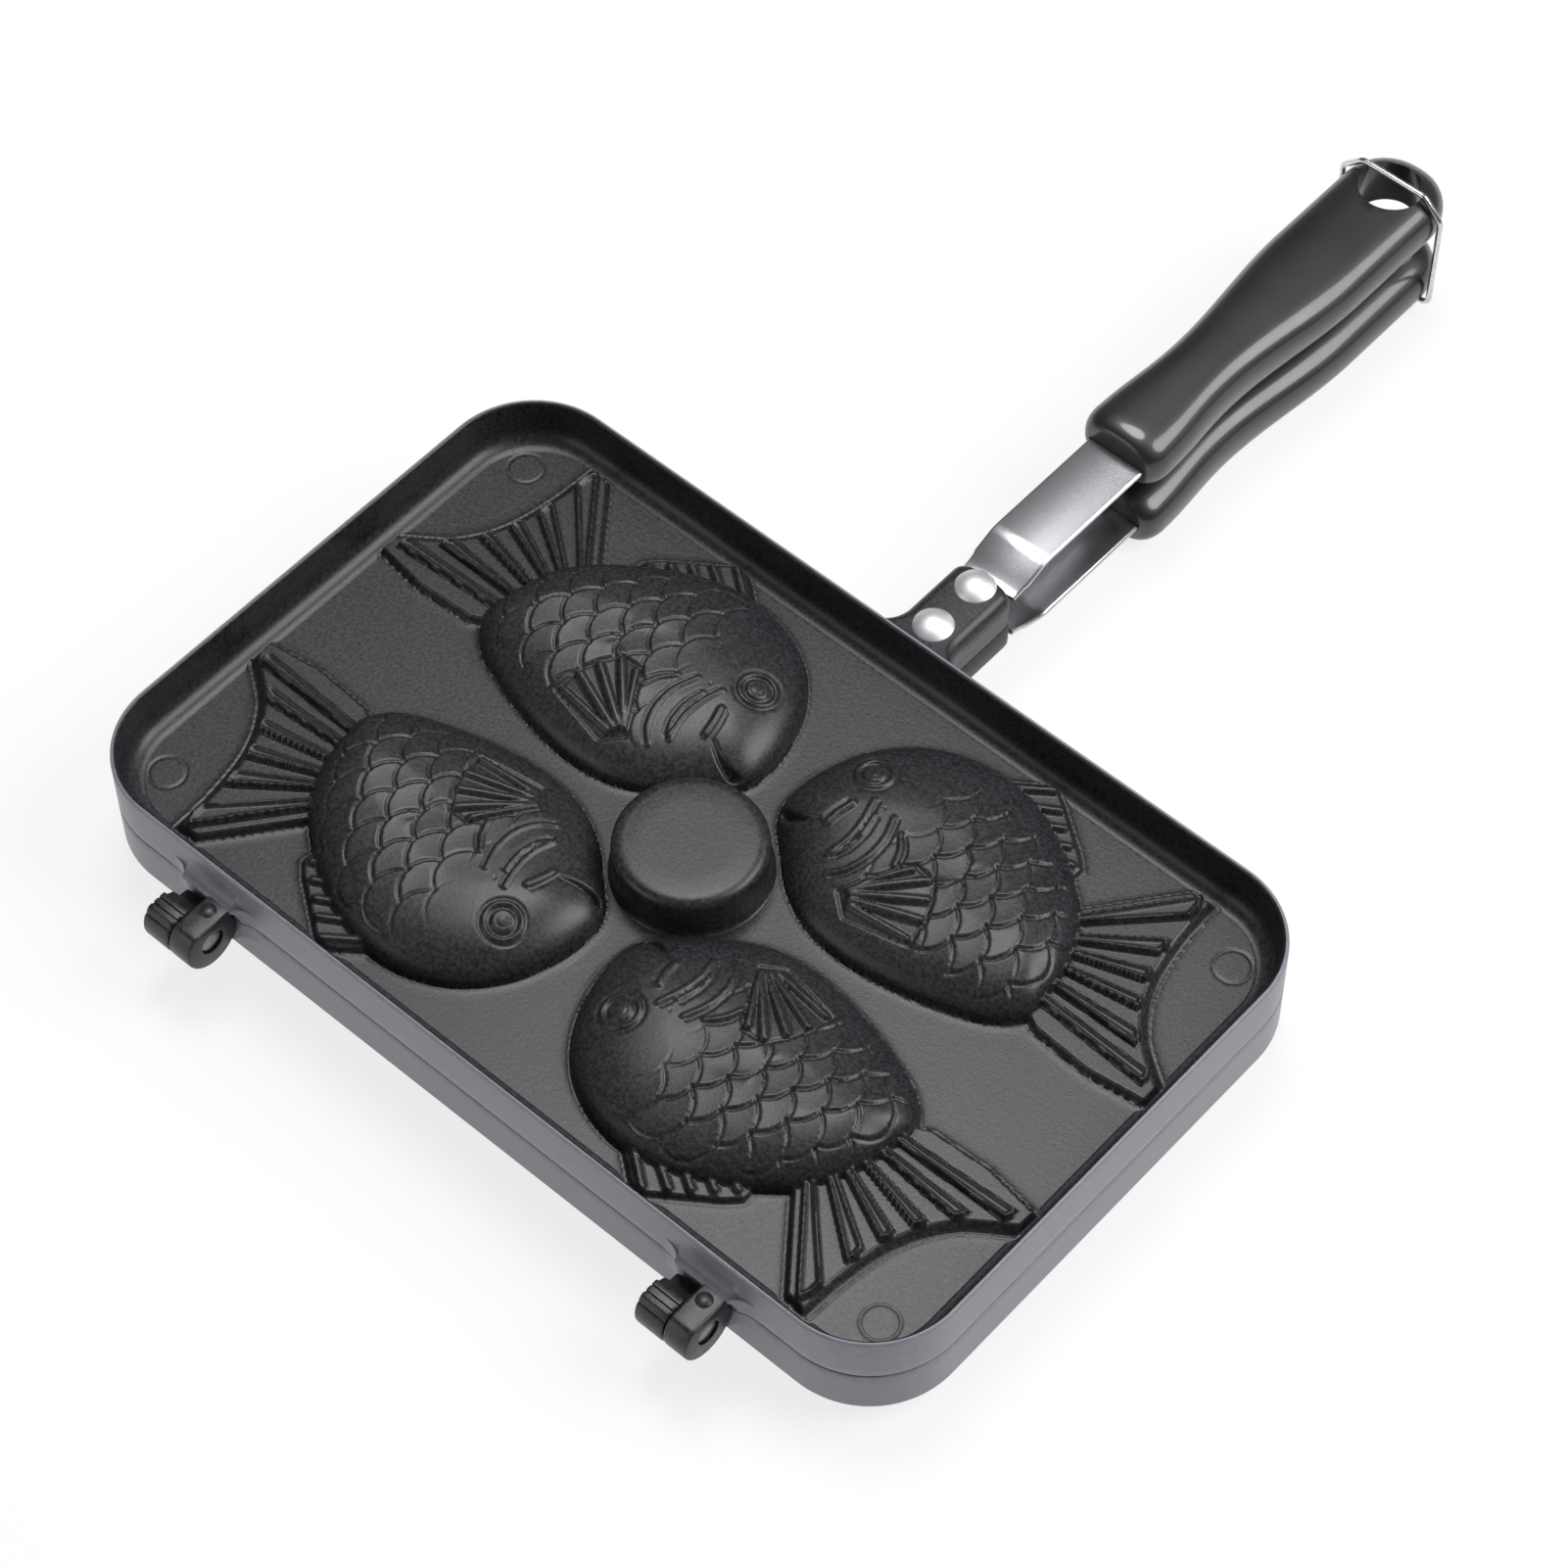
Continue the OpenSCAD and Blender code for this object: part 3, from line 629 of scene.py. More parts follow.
def tailShape(xy, f, c, top, floor, inset):
    edge, loop = tailOutline(f)
    depth = depthInside(xy, loop)[0]
    toEdge = nearestOnPath(xy, edge)[0]
    share = np.minimum(
        smoothStep(inset, inset + c["sideRise"], depth), smoothStep(inset, inset + c["endRise"], toEdge),
    )
    height = floor + (top - c["grooveDown"] - floor) * np.where(depth > 0, share, 0)
    for rootA, tipA, rootB, tipB in f["leaves"]:
        point = (np.array(tipA) + np.array(tipB)) / 2 + (c["tipOut"], 0)
        within = depthInside(xy, closedLoop([rootA, tipA, tuple(point), tipB, rootB]))[0]
        ridge = smoothStep(*c["ridgeUp"], within) - smoothStep(*c["ridgeDown"], within)
        sunk = c["sunk"] * smoothStep(*c["sunkSpan"], within)
        rise = smoothStep(-c["leafEdge"], c["leafEdge"], within - inset * 0.5)
        leafTop = floor + (top - floor) * rise + c["ridge"] * ridge - sunk
        onLeaf = (within > -c["leafEdge"]) & (depth > inset)
        height = np.where(onLeaf, np.maximum(height, leafTop), height)
    return height, depth


def finShape(xy, f, c, top, floor, inset):
    depth = depthInside(xy, closedLoop(f["fin"]))[0]
    height = floor + (top - c["down"] - floor) * smoothStep(inset, inset + c["rise"], depth)
    for a, b in f["finBars"]:
        height += lineRelief(xy, [a, b], *c["bar"]) * smoothStep(inset, inset + c["barRise"], depth)
    return height, depth


def fishHeights(xy, f, p, s, c):
    # Outer and inner height of the cast shell over each point of a quarter
    floor, under, inner = p["floorTop"], p["floorUnder"], c["inner"]
    loop = smoothCurve(f["outline"], closed=True)
    share = domeShare(xy, loop, f["ridge"])
    depth = depthInside(xy, loop)[0]
    relief = carving(xy, share, f, s, c)
    rise = domeProfile(share, f["fullness"])
    body = floor + (f["height"] - floor) * rise + relief * (share > 0)
    tail, tailDepth = tailShape(xy, f, c["tail"], f["tailHeight"], floor, 0)
    fin, finDepth = finShape(xy, f, c["fin"], f["finHeight"], floor, 0)
    outside = -np.maximum(np.maximum(depth, tailDepth), finDepth)
    fillet = f["footFillet"] * np.exp(-np.clip(outside, 0, 9) / f["footReach"]) * (outside > 0)
    top = np.maximum(np.maximum(body, tail), fin) + fillet
    innerShare = np.clip((share - inner["start"]) / inner["reach"], 0, 1)
    rise = domeProfile(innerShare, f["fullness"])
    innerBody = under + (f["height"] - p["shell"] - under) * rise
    innerBody += inner["relief"] * relief * smoothStep(*inner["reliefSpan"], innerShare)
    innerTail = tailShape(xy, f, c["tail"], f["tailHeight"] - p["shell"], under, inner["inset"])[0]
    innerFin = finShape(xy, f, c["fin"], f["finHeight"] - p["shell"], under, inner["inset"])[0]
    bottom = np.maximum(np.maximum(innerBody, innerTail), innerFin)
    bottom = np.minimum(bottom, top - inner["leastWall"])
    return top, bottom, outside


def cornerInset(xy, p):
    # Distance inside the pan's outer wall, over a quarter
    r = p["cornerRadius"]
    core = np.array([p["length"] / 2 - r, p["width"] / 2 - r])
    q = xy - core
    straight = np.minimum(p["length"] / 2 - xy[:, 0], p["width"] / 2 - xy[:, 1])
    return np.where((q[:, 0] > 0) & (q[:, 1] > 0), r - np.hypot(*q.T), straight)


reliefSettings = {
    "cellMm": 0.37,
    "snapShare": 0.42,
    "reach": (124, 76.9),
    "wallCover": 1.1,
    "puckHoleRadius": 17.6,
    "ejector": {"at": (110.5, 61), "radius": 4.5, "groove": 0.14, "span": (0.1, 0.5)},
    # Beside the wall the underside is lifted clear of it
    "underLift": {"rise": 0.5, "span": (2.15, 2.75)},
    # Thinned only where the sheet is plain: far from outlines, ejector marks and the wall
    "kept": {"ratio": 0.52, "fromOutline": 1.5, "fromWall": 9},
}


def snapToOutlines(xy, f, c, limit):
    # Moves grid points that lie close to an outline onto it, so that edges stay crisp
    tailLoop = tailOutline(f)[1]
    for loop in (smoothCurve(f["outline"], closed=True), tailLoop, closedLoop(f["fin"])):
        r, near = nearestOnPath(xy, loop)
        close = r < limit
        xy[close] = near[close]
    depth, near = depthInside(xy, tailLoop)
    lip = (np.abs(depth - c["sideRise"]) < limit) & (depth > 0.5)
    away = (xy[lip] - near[lip]) / depth[lip, None]
    xy[lip] = near[lip] + away * c["sideRise"]
    return xy


def makeFishQuarter(s, f, p, scales, c):
    # Grid sheet, cut to the pan and the round mould, thickened, then pressed to shape
    columns, rows = (int(reach / s["cellMm"]) for reach in s["reach"])
    sheet, column, row = gridSheet("fishQuarter", columns, rows)
    xy = np.c_[column / columns * s["reach"][0], row / rows * s["reach"][1]]
    setMeshPoints(sheet, np.c_[xy, np.zeros(len(xy))] * mm)
    makeActive(sheet)
    bpy.ops.object.mode_set(mode="EDIT")
    bpy.ops.mesh.select_mode(type="FACE")
    bpy.ops.mesh.select_all(action="DESELECT")
    bm = bmesh.from_edit_mesh(sheet.data)
    centres = np.array([face.calc_center_median()[:2] for face in bm.faces]) / mm
    inHole = np.hypot(*centres.T) < s["puckHoleRadius"]
    for face, away in zip(bm.faces, (cornerInset(centres, p) < s["wallCover"]) | inHole):
        face.select_set(bool(away))
    bmesh.update_edit_mesh(sheet.data)
    bpy.ops.mesh.delete(type="FACE")
    bpy.ops.mesh.select_all(action="SELECT")
    bpy.ops.mesh.extrude_region_move(TRANSFORM_OT_translate={"value": (0, 0, -mm)})
    leaveEditMode()
    co = meshPoints(sheet) / mm
    upper = co[:, 2] > -0.5
    xy = co[:, :2].copy()
    inner = (xy > 0.5).all(axis=1) & (cornerInset(xy, p) > s["wallCover"] + 1)
    xy[inner] = snapToOutlines(xy[inner], f, c["tail"], s["snapShare"] * s["cellMm"])
    top, bottom, apart = fishHeights(xy, f, p, scales, c)
    mark, lift, kept = s["ejector"], s["underLift"], s["kept"]
    fromMark = np.abs(np.hypot(*(xy - mark["at"]).T) - mark["radius"])
    top -= mark["groove"] * (1 - smoothStep(*mark["span"], fromMark))
    fromWall = cornerInset(xy, p)
    bottom = bottom + lift["rise"] * (1 - smoothStep(*lift["span"], fromWall))
    setMeshPoints(sheet, np.c_[xy, np.where(upper, top, bottom)] * mm)
    weldAndFaceOut(sheet, 0.0001)
    clear = (apart > kept["fromOutline"]) & (fromMark > kept["fromOutline"])
    plain = ~upper | (clear & (fromWall > kept["fromWall"]))
    group = sheet.vertex_groups.new(name="plain")
    group.add([int(i) for i in np.flatnonzero(plain)], 1.0, "REPLACE")
    applyModifier(sheet, "DECIMATE", ratio=kept["ratio"], vertex_group="plain")
    return sheet


def placeCopy(source, name, sideX, sideY, up, parting):
    # Own copy of a piece's mesh, mirrored to its quarter and half
    deselectAll()
    copy = source.copy()
    copy.data = source.data.copy()
    copy.name = name
    bpy.context.collection.objects.link(copy)
    co = meshPoints(copy) * (sideX, sideY, up)
    co[:, 2] += parting * mm
    setMeshPoints(copy, co)
    if sideX * sideY * up < 0:
        editAll(copy)
        bpy.ops.mesh.flip_normals()
        leaveEditMode()
    return copy


halves = {
    "upper": {"up": 1, "body": "lid", "node": "upper_pan"},
    "lower": {"up": -1, "body": "base", "node": "lower_pan"},
}
partingZ = panSettings["halfHeight"]


def placeBoth(sources, material, slotName, nodeEnd="pan"):
    # Puts each source on both halves, mirrored for the lower one, and clears it away
    for half, h in halves.items():
        for name, source in sources.items():
            piece = placeCopy(source, f"{half}_{name}", 1, 1, h["up"], partingZ)
            dress(piece, material, slotName, h["body"], f"{half}_{nodeEnd}")
    for source in sources.values():
        bpy.data.objects.remove(source)


fishQuarter = makeFishQuarter(reliefSettings, fishSettings, panSettings, scaleSettings, carveSettings)
smoothBelow(fishQuarter, 75)
for half, h in halves.items():
    for number, (sideX, sideY) in enumerate([(1, 1), (-1, 1), (-1, -1), (1, -1)], 1):
        piece = placeCopy(fishQuarter, f"{half}_fish_{number}", sideX, sideY, h["up"], partingZ)
        dress(piece, coat, "cast_pan", h["body"], h["node"])
bpy.data.objects.remove(fishQuarter)
print("fish moulds made")


# Rim and wall: one closed section swept round the pan
wallSection = {
    "outerEdge": [(2.6, 0.15), (0.5, 0.15), (0.14, 0.28), (0, 0.65), (0, 3), (0, 12.9)],
    "lip": [(0.05, 13.35), (0.2, 13.68), (0.48, 13.86), (0.8, 13.88), (1.14, 13.74), (1.34, 13.45)],
    "innerTop": (1.42, 13.0),
    "innerLow": (2.3, 6.6),
    "filletFoot": (7.0, 2.02),
    "filletSteps": 9,
    "tuck": [(7.6, 1.6), (7.0, 1.2), (2.6, 1.0)],
}


def sweptWall(name, s, p):
    path = s["outerEdge"] + s["lip"] + [s["innerTop"]]
    for k in range(s["filletSteps"] + 1):
        a = radians(90 * (1 - k / s["filletSteps"]))
        inset = s["filletFoot"][0] - (s["filletFoot"][0] - s["innerLow"][0]) * sin(a)
        height = s["filletFoot"][1] + (s["innerLow"][1] - s["filletFoot"][1]) * (1 - cos(a))
        path.append((inset, height))
    path += s["tuck"] + path[:1]
    r, steps = p["cornerRadius"], p["cornerSteps"]
    coreX, coreY = p["length"] / 2 - r, p["width"] / 2 - r
    around = []
    for k, (sx, sy) in enumerate([(1, 1), (-1, 1), (-1, -1), (1, -1)]):
        for i in range(steps + 1):
            a = radians(90 * (k + i / steps))
            around.append((sx * coreX, sy * coreY, cos(a), sin(a)))
    around.append(around[0])
    net = [
        [(cx + (r - inset) * nx, cy + (r - inset) * ny, height) for cx, cy, nx, ny in around]
        for inset, height in path
    ]
    return rolledSheet(name, net)


panWall = sweptWall("panWall", wallSection, panSettings)
smoothBelow(panWall, 50)
panWall.data.materials.append(wallCoatWithPaintedLight)
panWall.data.materials.append(coat)
# Outer faces take the paler wall coat, whose tone is partly painted light; faces further in take the non-stick
# coat
for face in panWall.data.polygons:
    spot = np.abs(np.array(face.center[:2])) / mm
    face.material_index = int(cornerInset(spot[None, :], panSettings)[0] > 0.9)
placeBoth({"wall": panWall}, None, "cast_pan")
print("walls made")


# Round mould at the centre, turned about Z
puckSettings = {
    "steps": 96,
    "profile": [
        (0, 11.9), (15.2, 11.9), (16.1, 11.6), (16.5, 10.8), (16.6, 9.6), (16.6, 0.5), (16.9, 0.15),
        (18.4, 0.15), (18.4, 1.4), (19.8, 1.9), (19.4, 2.1), (19.0, 2.6), (18.75, 3.4), (18.6, 5),
        (18.5, 11.2), (18.35, 12.1), (17.95, 12.85), (17.3, 13.4), (16.4, 13.72), (15.3, 13.86),
        (10, 13.86), (0, 13.86),
    ],
}


def turnedPiece(name, s):
    angles = [2 * pi * i / s["steps"] for i in range(s["steps"] + 1)]
    net = [[(r * cos(a), r * sin(a), z) for a in angles] for r, z in s["profile"]]
    return rolledSheet(name, net)


roundMould = turnedPiece("roundMould", puckSettings)
smoothBelow(roundMould, 40)
placeBoth({"round_mould": roundMould}, coat, "cast_pan")
print("round moulds made")


# Hinges: on each half an arm grown from the wall, with barrels side by side on one pin.
# Sections are points of Y and height.
hingeSettings = {
    "axisY": -86.6,
    "radius": 7.5,
    "lowStretch": 1.06,
    "flatTop": 5.8,
    "from": 68.3,
    "to": 83.6,
    "shifts": {"right": 0, "left": -153.1},
    "arm": {
        "inside": -77.0,
        "face": -77.6,
        "low": 0.2,
        "reach": {"upper": 3.4, "lower": 3.3},
        # Points of the front, hollow to let the barrel turn: greatest reach, and height
        "front": [(1.1, 0.2), (1.8, 3.0), (2.9, 4.7)],
        "edge": 0.45,
        "filletRise": 1.65,
        # Share of the reach at steps away from the arm, for the hollow web at its sides
        "web": [
            (-7, 0), (-5.4, 0.03), (-3.9, 0.09), (-2.6, 0.2), (-1.4, 0.38), (-0.5, 0.62),
            (-0.1, 0.87), (0.15, 0.97), (0.5, 1),
        ],
    },
    # Barrels: span of X, top, round part in degrees with its grooves, and root
    "upper": {
        "span": (76.75, 83.6),
        "top": [(-80.0, 3.0), (-80.0, 5.82), (-90.4, 5.82), (-91.0, 5.76)],
        "arc": (132, 360),
        "grooves": [],
        "root": [(-79.15, 1.2), (-79.6, 2.4)],
    },
    "lower": {
        "span": (68.3, 76.45),
        "top": [
            (-79.8, -0.6), (-83.0, -0.3), (-83.2, 1.6), (-84.0, 3.2), (-85.9, 4.3), (-86.4, 5.55),
            (-86.7, 5.8), (-87.9, 5.8), (-88.1, 5.3), (-88.4, 5.3), (-88.6, 5.8), (-89.8, 5.75),
            (-90.0, 5.2), (-90.4, 5.2), (-90.7, 5.7), (-91.3, 5.68),
        ],
        "arc": (132, 339),
        "grooves": [(147, 3, 0.4)],
        "root": [],
    },
    "endRound": [(0, 0.925), (0.12, 0.96), (0.35, 0.988), (0.7, 1)],
    # Span of X and radius
    "bore": (82.0, 84.6, 3.3),
    "pin": (69.1, 81.95, 2.3),
    "pinHead": (81.9, 83.1, 3.0),
    "pinHeadBevel": 0.3,
    "dimple": {
        "place": (79.7, -83.6, 5.82),
        "steps": 40,
        "profile": [(0, 0.55), (0.9, 0.48), (1.6, 0.25), (2.1, -0.02), (2.2, -0.3), (0, -0.3)],
    },
}


def armSection(reach, s, top):
    # The arm where it stands out this far from the wall
    face = s["face"]
    edge = min(s["edge"], reach / 3)
    fillet = reach - edge
    rise = fillet * s["filletRise"]
    points = [(s["inside"], s["low"])]
    points += [(face - min(reach, most), height) for most, height in s["front"]]
    points += [
        (face - reach, top - edge), (face - reach + 0.3 * edge, top - 0.3 * edge),
        (face - reach + edge, top),
    ]
    for a in range(270, 361, 15):
        turn = radians(a)
        points.append((face - fillet + fillet * cos(turn), top + rise + rise * sin(turn)))
    points.append((s["inside"], top + rise))
    return points + points[:1]


def barrelSection(b, s):
    points = list(b["top"])
    for a in range(b["arc"][0], b["arc"][1] + 1, 3):
        r = s["radius"] - sum(ring(a, *groove) for groove in b["grooves"])
        turn = radians(a)
        stretch = s["lowStretch"] if a > 180 else 1
        points.append((s["axisY"] + r * cos(turn), stretch * r * sin(turn)))
    points += b["root"]
    return points + points[:1]


def loftAlongX(name, stations):
    net = [[(x, y, z) for y, z in section] for x, section in stations]
    return rolledSheet(name, net, capEnds=True)


def makeArm(reach, s):
    arm = s["arm"]
    ends = [(s["from"] + step, share) for step, share in arm["web"]]
    ends += [(s["to"] - step, share) for step, share in reversed(arm["web"])]
    return loftAlongX("hingeArm", [(x, armSection(reach * share, arm, s["flatTop"])) for x, share in ends])


def makeBarrel(name, b, s):
    # Edges are rounded by drawing the end sections in towards the pin
    x0, x1 = b["span"]
    section, centre = barrelSection(b, s), s["axisY"]
    ends = [(x0 + step, share) for step, share in s["endRound"]]
    ends += [(x1 - step, share) for step, share in reversed(s["endRound"])]
    stations = []
    for x, share in ends:
        stations.append((x, [(centre + (y - centre) * share, z * share) for y, z in section]))
    return loftAlongX(name, stations)


def rodAlongX(name, x0, x1, radius):
    place = ((x0 + x1) / 2, hingeSettings["axisY"], 0)
    return makeCylinder(name, radius, x1 - x0, 48, place, (0, pi / 2, 0))


def placeShifted(source, name, shift, up=1):
    piece = placeCopy(source, name, 1, 1, up, partingZ)
    setMeshPoints(piece, meshPoints(piece) + (shift * mm, 0, 0))
    return piece


def makeHinges(s):
    arms = {half: makeArm(reach, s) for half, reach in s["arm"]["reach"].items()}
    barrels = {half: makeBarrel(f"{half}Barrel", s[half], s) for half in halves}
    cutAway(barrels["upper"], rodAlongX("bore", *s["bore"]))
    pin, head = rodAlongX("pin", *s["pin"]), rodAlongX("pinHead", *s["pinHead"])
    bevelEdges(head, s["pinHeadBevel"], 2)
    dimple = turnedPiece("dimple", s["dimple"])
    setMeshPoints(dimple, meshPoints(dimple) + np.array(s["dimple"]["place"]) * mm)
    pieces = [*arms.values(), *barrels.values(), pin, head, dimple]
    for piece in pieces:
        smoothBelow(piece, 42)
    for side, shift in s["shifts"].items():
        # Arms take the paler wall coat, so their fronts carry the same painted light as the walls
        for half, h in halves.items():
            arm = placeShifted(arms[half], f"{half}_{side}_hinge_arm", shift, h["up"])
            dress(arm, wallCoatWithPaintedLight, "cast_pan", h["body"], h["node"])
        # Both barrels are drawn in their own place, so neither is mirrored
        for half, h in halves.items():
            barrel = placeShifted(barrels[half], f"{half}_{side}_barrel", shift)
            dress(barrel, coat, "cast_pan", h["body"], h["node"])
        mark = placeShifted(dimple, f"{side}_dimple", shift)
        dress(mark, coat, "cast_pan", halves["upper"]["body"], halves["upper"]["node"])
        for source, name in ((pin, "pin"), (head, "pin_head")):
            rod = placeShifted(source, f"{side}_{name}", shift)
            dress(rod, metals["turnedSteel"], "hinge_pin", "base", f"{side}_hinge_pin")
    for piece in pieces:
        bpy.data.objects.remove(piece)


# Handle lug: lofted along Y, flared into the wall by hollow roots, its top edges well rounded
lugSettings = {
    "start": 77.2,
    "wall": 77.7,
    "end": 105.2,
    "halfWidth": 8.5,
    "flare": 9.0,
    "height": 10.3,
    "low": 0.25,
    "lowRound": 0.5,
    "topRound": 3.4,
    "endRound": 2.6,
    "endDrop": 0.35,
    "endDegrees": (20, 40, 55, 68, 78, 85),
}


def quarterInset(share):
    # How far a quarter circle of radius 1 falls back, from 0 at its start to 1 at its end
    return 1 - sqrt(max(0, 1 - min(max(share, 0), 1) ** 2))


def lugSection(y, s):
    wide = s["halfWidth"] + s["flare"] * quarterInset(1 - (y - s["wall"]) / s["flare"])
    drawIn = s["endRound"] * quarterInset((y - (s["end"] - s["endRound"])) / s["endRound"])
    wide, top = wide - drawIn, s["height"] - s["endDrop"] * drawIn
    r, low = s["topRound"], s["lowRound"]
    side = [(wide - low, s["low"]), (wide, s["low"] + low)]
    for k in range(9):
        a = radians(90 * k / 8)
        side.append((wide - r + r * cos(a), top - r + r * sin(a)))
    loop = side + [(-x, z) for x, z in reversed(side)]
    return loop + loop[:1]


def makeLug(s):
    rootEnd, tipStart = s["wall"] + s["flare"], s["end"] - s["endRound"]
    along = [s["start"], s["wall"]] + [s["wall"] + s["flare"] * k / 12 for k in range(1, 13)]
    along += list(np.linspace(rootEnd, tipStart, 6)[1:])
    along += [tipStart + s["endRound"] * sin(radians(a)) for a in s["endDegrees"]]
    net = [[(x, y, z) for x, z in lugSection(y, s)] for y in along + [s["end"]]]
    return rolledSheet("lug", net, capEnds=True)


lug = makeLug(lugSettings)
smoothBelow(lug, 50)
placeBoth({"handle_lug": lug}, coat, "cast_pan")
makeHinges(hingeSettings)
print("hinges and lugs made")


# Rivets, screws and wire: merged copies of the frame's own solids, with softened edges
softSettings = {"merge": 0.002, "flatDegrees": 1.0, "smoothDegrees": 35, "rivet": 0.2, "screw": 0.1}


def softenedCopy(node, name, s, bevelMm=0):
    deselectAll()
    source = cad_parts[node]
    copy = source.copy()
    copy.data = source.data.copy()
    copy.name = name
    for key in list(copy.keys()):
        del copy[key]
    copy.parent = None
    copy.hide_render = False
    copy.hide_viewport = False
    bpy.context.collection.objects.link(copy)
    editAll(copy)
    bpy.ops.mesh.remove_doubles(threshold=s["merge"] * mm)
    bpy.ops.mesh.select_all(action="SELECT")
    bpy.ops.mesh.dissolve_limited(angle_limit=radians(s["flatDegrees"]))
    leaveEditMode()
    if bevelMm:
        bevelEdges(copy, bevelMm, 3)
    smoothBelow(copy, s["smoothDegrees"])
    return copy


for half, h in halves.items():
    for which in ("near", "far"):
        node = f"{half}_rivet_{which}"
        rivet = softenedCopy(node, f"{node}_head", softSettings, softSettings["rivet"])
        dress(rivet, metals["turnedAluminium"], "rivet", h["body"], node)
    node = f"{half}_grip_screw"
    screw = softenedCopy(node, f"{half}_screw", softSettings, softSettings["screw"])
    dress(screw, metals["zincPlate"], "screw", h["body"], node)
wire = softenedCopy("wire_bail", "bail_wire", softSettings)
dress(wire, metals["springWire"], "bail_wire", "bail", "wire_bail")
print("rivets, screws and wire made")


# Straps: flat steel swept along a bent line, in Y and height
strapSettings = {
    "thick": 1.6,
    "edge": 0.72,
    "bend": 10.0,
    "bendSteps": 8,
    "line": [(81.3, 6.5), (106.6, 6.5), (117.4, 10.5), (205.7, 10.5)],
    # Half widths along Y: tongue, neck, full width, tang
    "halfWidths": [
        (81.3, 4.8), (105.7, 4.8), (106.0, 7.9), (109.6, 8.1), (110.6, 8.4), (161.7, 8.4),
        (162.0, 5), (205.7, 5),
    ],
}


def bentLine(points, radius, steps):
    # Rounds the corners of a line in a plane; gives points with their direction angles
    p = [np.array(q, float) for q in points]
    line = []
    for i, q in enumerate(p):
        before = atan2(*(p[i] - p[i - 1])[::-1]) if i else atan2(*(p[1] - p[0])[::-1])
        after = atan2(*(p[i + 1] - p[i])[::-1]) if i + 1 < len(p) else before
        turn = after - before
        if abs(turn) < 1e-6:
            line.append((q, before))
            continue
        reach = radius * tan(abs(turn) / 2)
        start = q - reach * np.array([cos(before), sin(before)])
        side = copysign(1, turn)
        centre = start + radius * side * np.array([-sin(before), cos(before)])
        for k in range(steps + 1):
            a = before + turn * k / steps
            line.append((centre + radius * side * np.array([sin(a), -cos(a)]), a))
    return line


def roundedSection(halfWide, halfThick, edge, steps=3):
    points = []
    for k, (sx, sz) in enumerate([(1, 1), (-1, 1), (-1, -1), (1, -1)]):
        for i in range(steps + 1):
            a = radians(90 * (k + i / steps))
            x = sx * (halfWide - edge) + edge * cos(a)
            points.append((x, sz * (halfThick - edge) + edge * sin(a)))
    return points + points[:1]


def makeStrap(s):
    line = bentLine(s["line"], s["bend"], s["bendSteps"])
    yWide, wide = np.array(s["halfWidths"]).T
    stations = []
    for (q, a), (qNext, aNext) in zip(line, line[1:] + line[-1:]):
        stations.append((q, a))
        for y in yWide:
            if q[0] + 0.05 < y < qNext[0] - 0.05:
                share = (y - q[0]) / (qNext[0] - q[0])
                stations.append((q + share * (qNext - q), a + share * (aNext - a)))
    net = []
    for q, a in stations:
        halfWide = np.interp(q[0], yWide, wide)
        section = roundedSection(halfWide, s["thick"] / 2, s["edge"])
        net.append([(x, q[0] - sin(a) * z, q[1] + cos(a) * z) for x, z in section])
    return rolledSheet("strap", net, capEnds=True)


strap = makeStrap(strapSettings)
smoothBelow(strap, 30)
placeBoth({"steel_strap": strap}, metals["rolledStainless"], "steel_strap", "strap")
print("straps made")


# Grips: rounded sections along Y, with the hanging hole cut through
gripShape = {
    "start": 153.7,
    "length": 122.3,
    "height": 11.1,
    "halfThick": 8.0,
    # Half widths, from the front to the round end
    "bulb": 12.2,
    "waist": 10.4,
    "end": 14.0,
    # Shares of the length between the rounded ends
    "waistAt": 0.27,
    "swellOver": 0.45,
    "frontRound": 6.0,
    "frontIn": 3.4,
    "frontThin": 2.4,
    "capPower": 0.9,
    "capDegrees": (8, 16, 24, 32, 40, 48, 55, 62, 68, 74, 79, 83, 86, 88, 89.3),
    "squareness": 0.8,
    "sides": 72,
    "hole": {"place": 262.2, "radius": 8.3, "edge": 0.9, "past": 3},
    "nub": {"place": 246.7, "radius": 3.4, "inset": 0.2},
    "slot": {"halfWide": 8.5, "height": 10.5, "thick": 1.9, "deep": 8.2, "past": 2},
}


def gripSection(along, s):
    # Half width and half thickness at a distance from the front
    capStart = s["length"] - s["end"]
    if along > capStart:
        past = along - capStart
        wide = sqrt(max(s["end"] ** 2 - past ** 2, 0.2))
        return wide, s["halfThick"] * sqrt(max(1 - (past / s["end"]) ** 2, 0.001)) ** s["capPower"]
    if along < s["frontRound"]:
        inset = quarterInset(1 - along / s["frontRound"])
        return s["bulb"] - s["frontIn"] * inset, s["halfThick"] - s["frontThin"] * inset
    u = (along - s["frontRound"]) / (capStart - s["frontRound"])
    if u < s["waistAt"]:
        v, before, after = u / s["waistAt"], s["bulb"], s["waist"]
    else:
        v, before, after = min((u - s["waistAt"]) / s["swellOver"], 1), s["waist"], s["end"]
    ease = (1 - cos(pi * v)) / 2
    return before + (after - before) * ease, s["halfThick"]


def makeHoleCutter(s):
    # Turned plug, flared where it leaves the grip, so that the hole's edges come out rounded
    hole, low = s["hole"], s["height"] - s["halfThick"]
    flare, outer = hole["edge"], hole["radius"] + hole["edge"]
    profile = [(0, low - hole["past"]), (outer, low - hole["past"])]
    for a in range(18, 91, 18):
        turn = radians(a)
        profile.append((outer - flare * sin(turn), low - 0.05 + flare * (1 - cos(turn))))
    profile += [(r, 2 * s["height"] - z) for r, z in reversed(profile)]
    cutter = turnedPiece("holeCutter", {"steps": 64, "profile": profile})
    cutter.location = (0, hole["place"] * mm, 0)
    return cutter


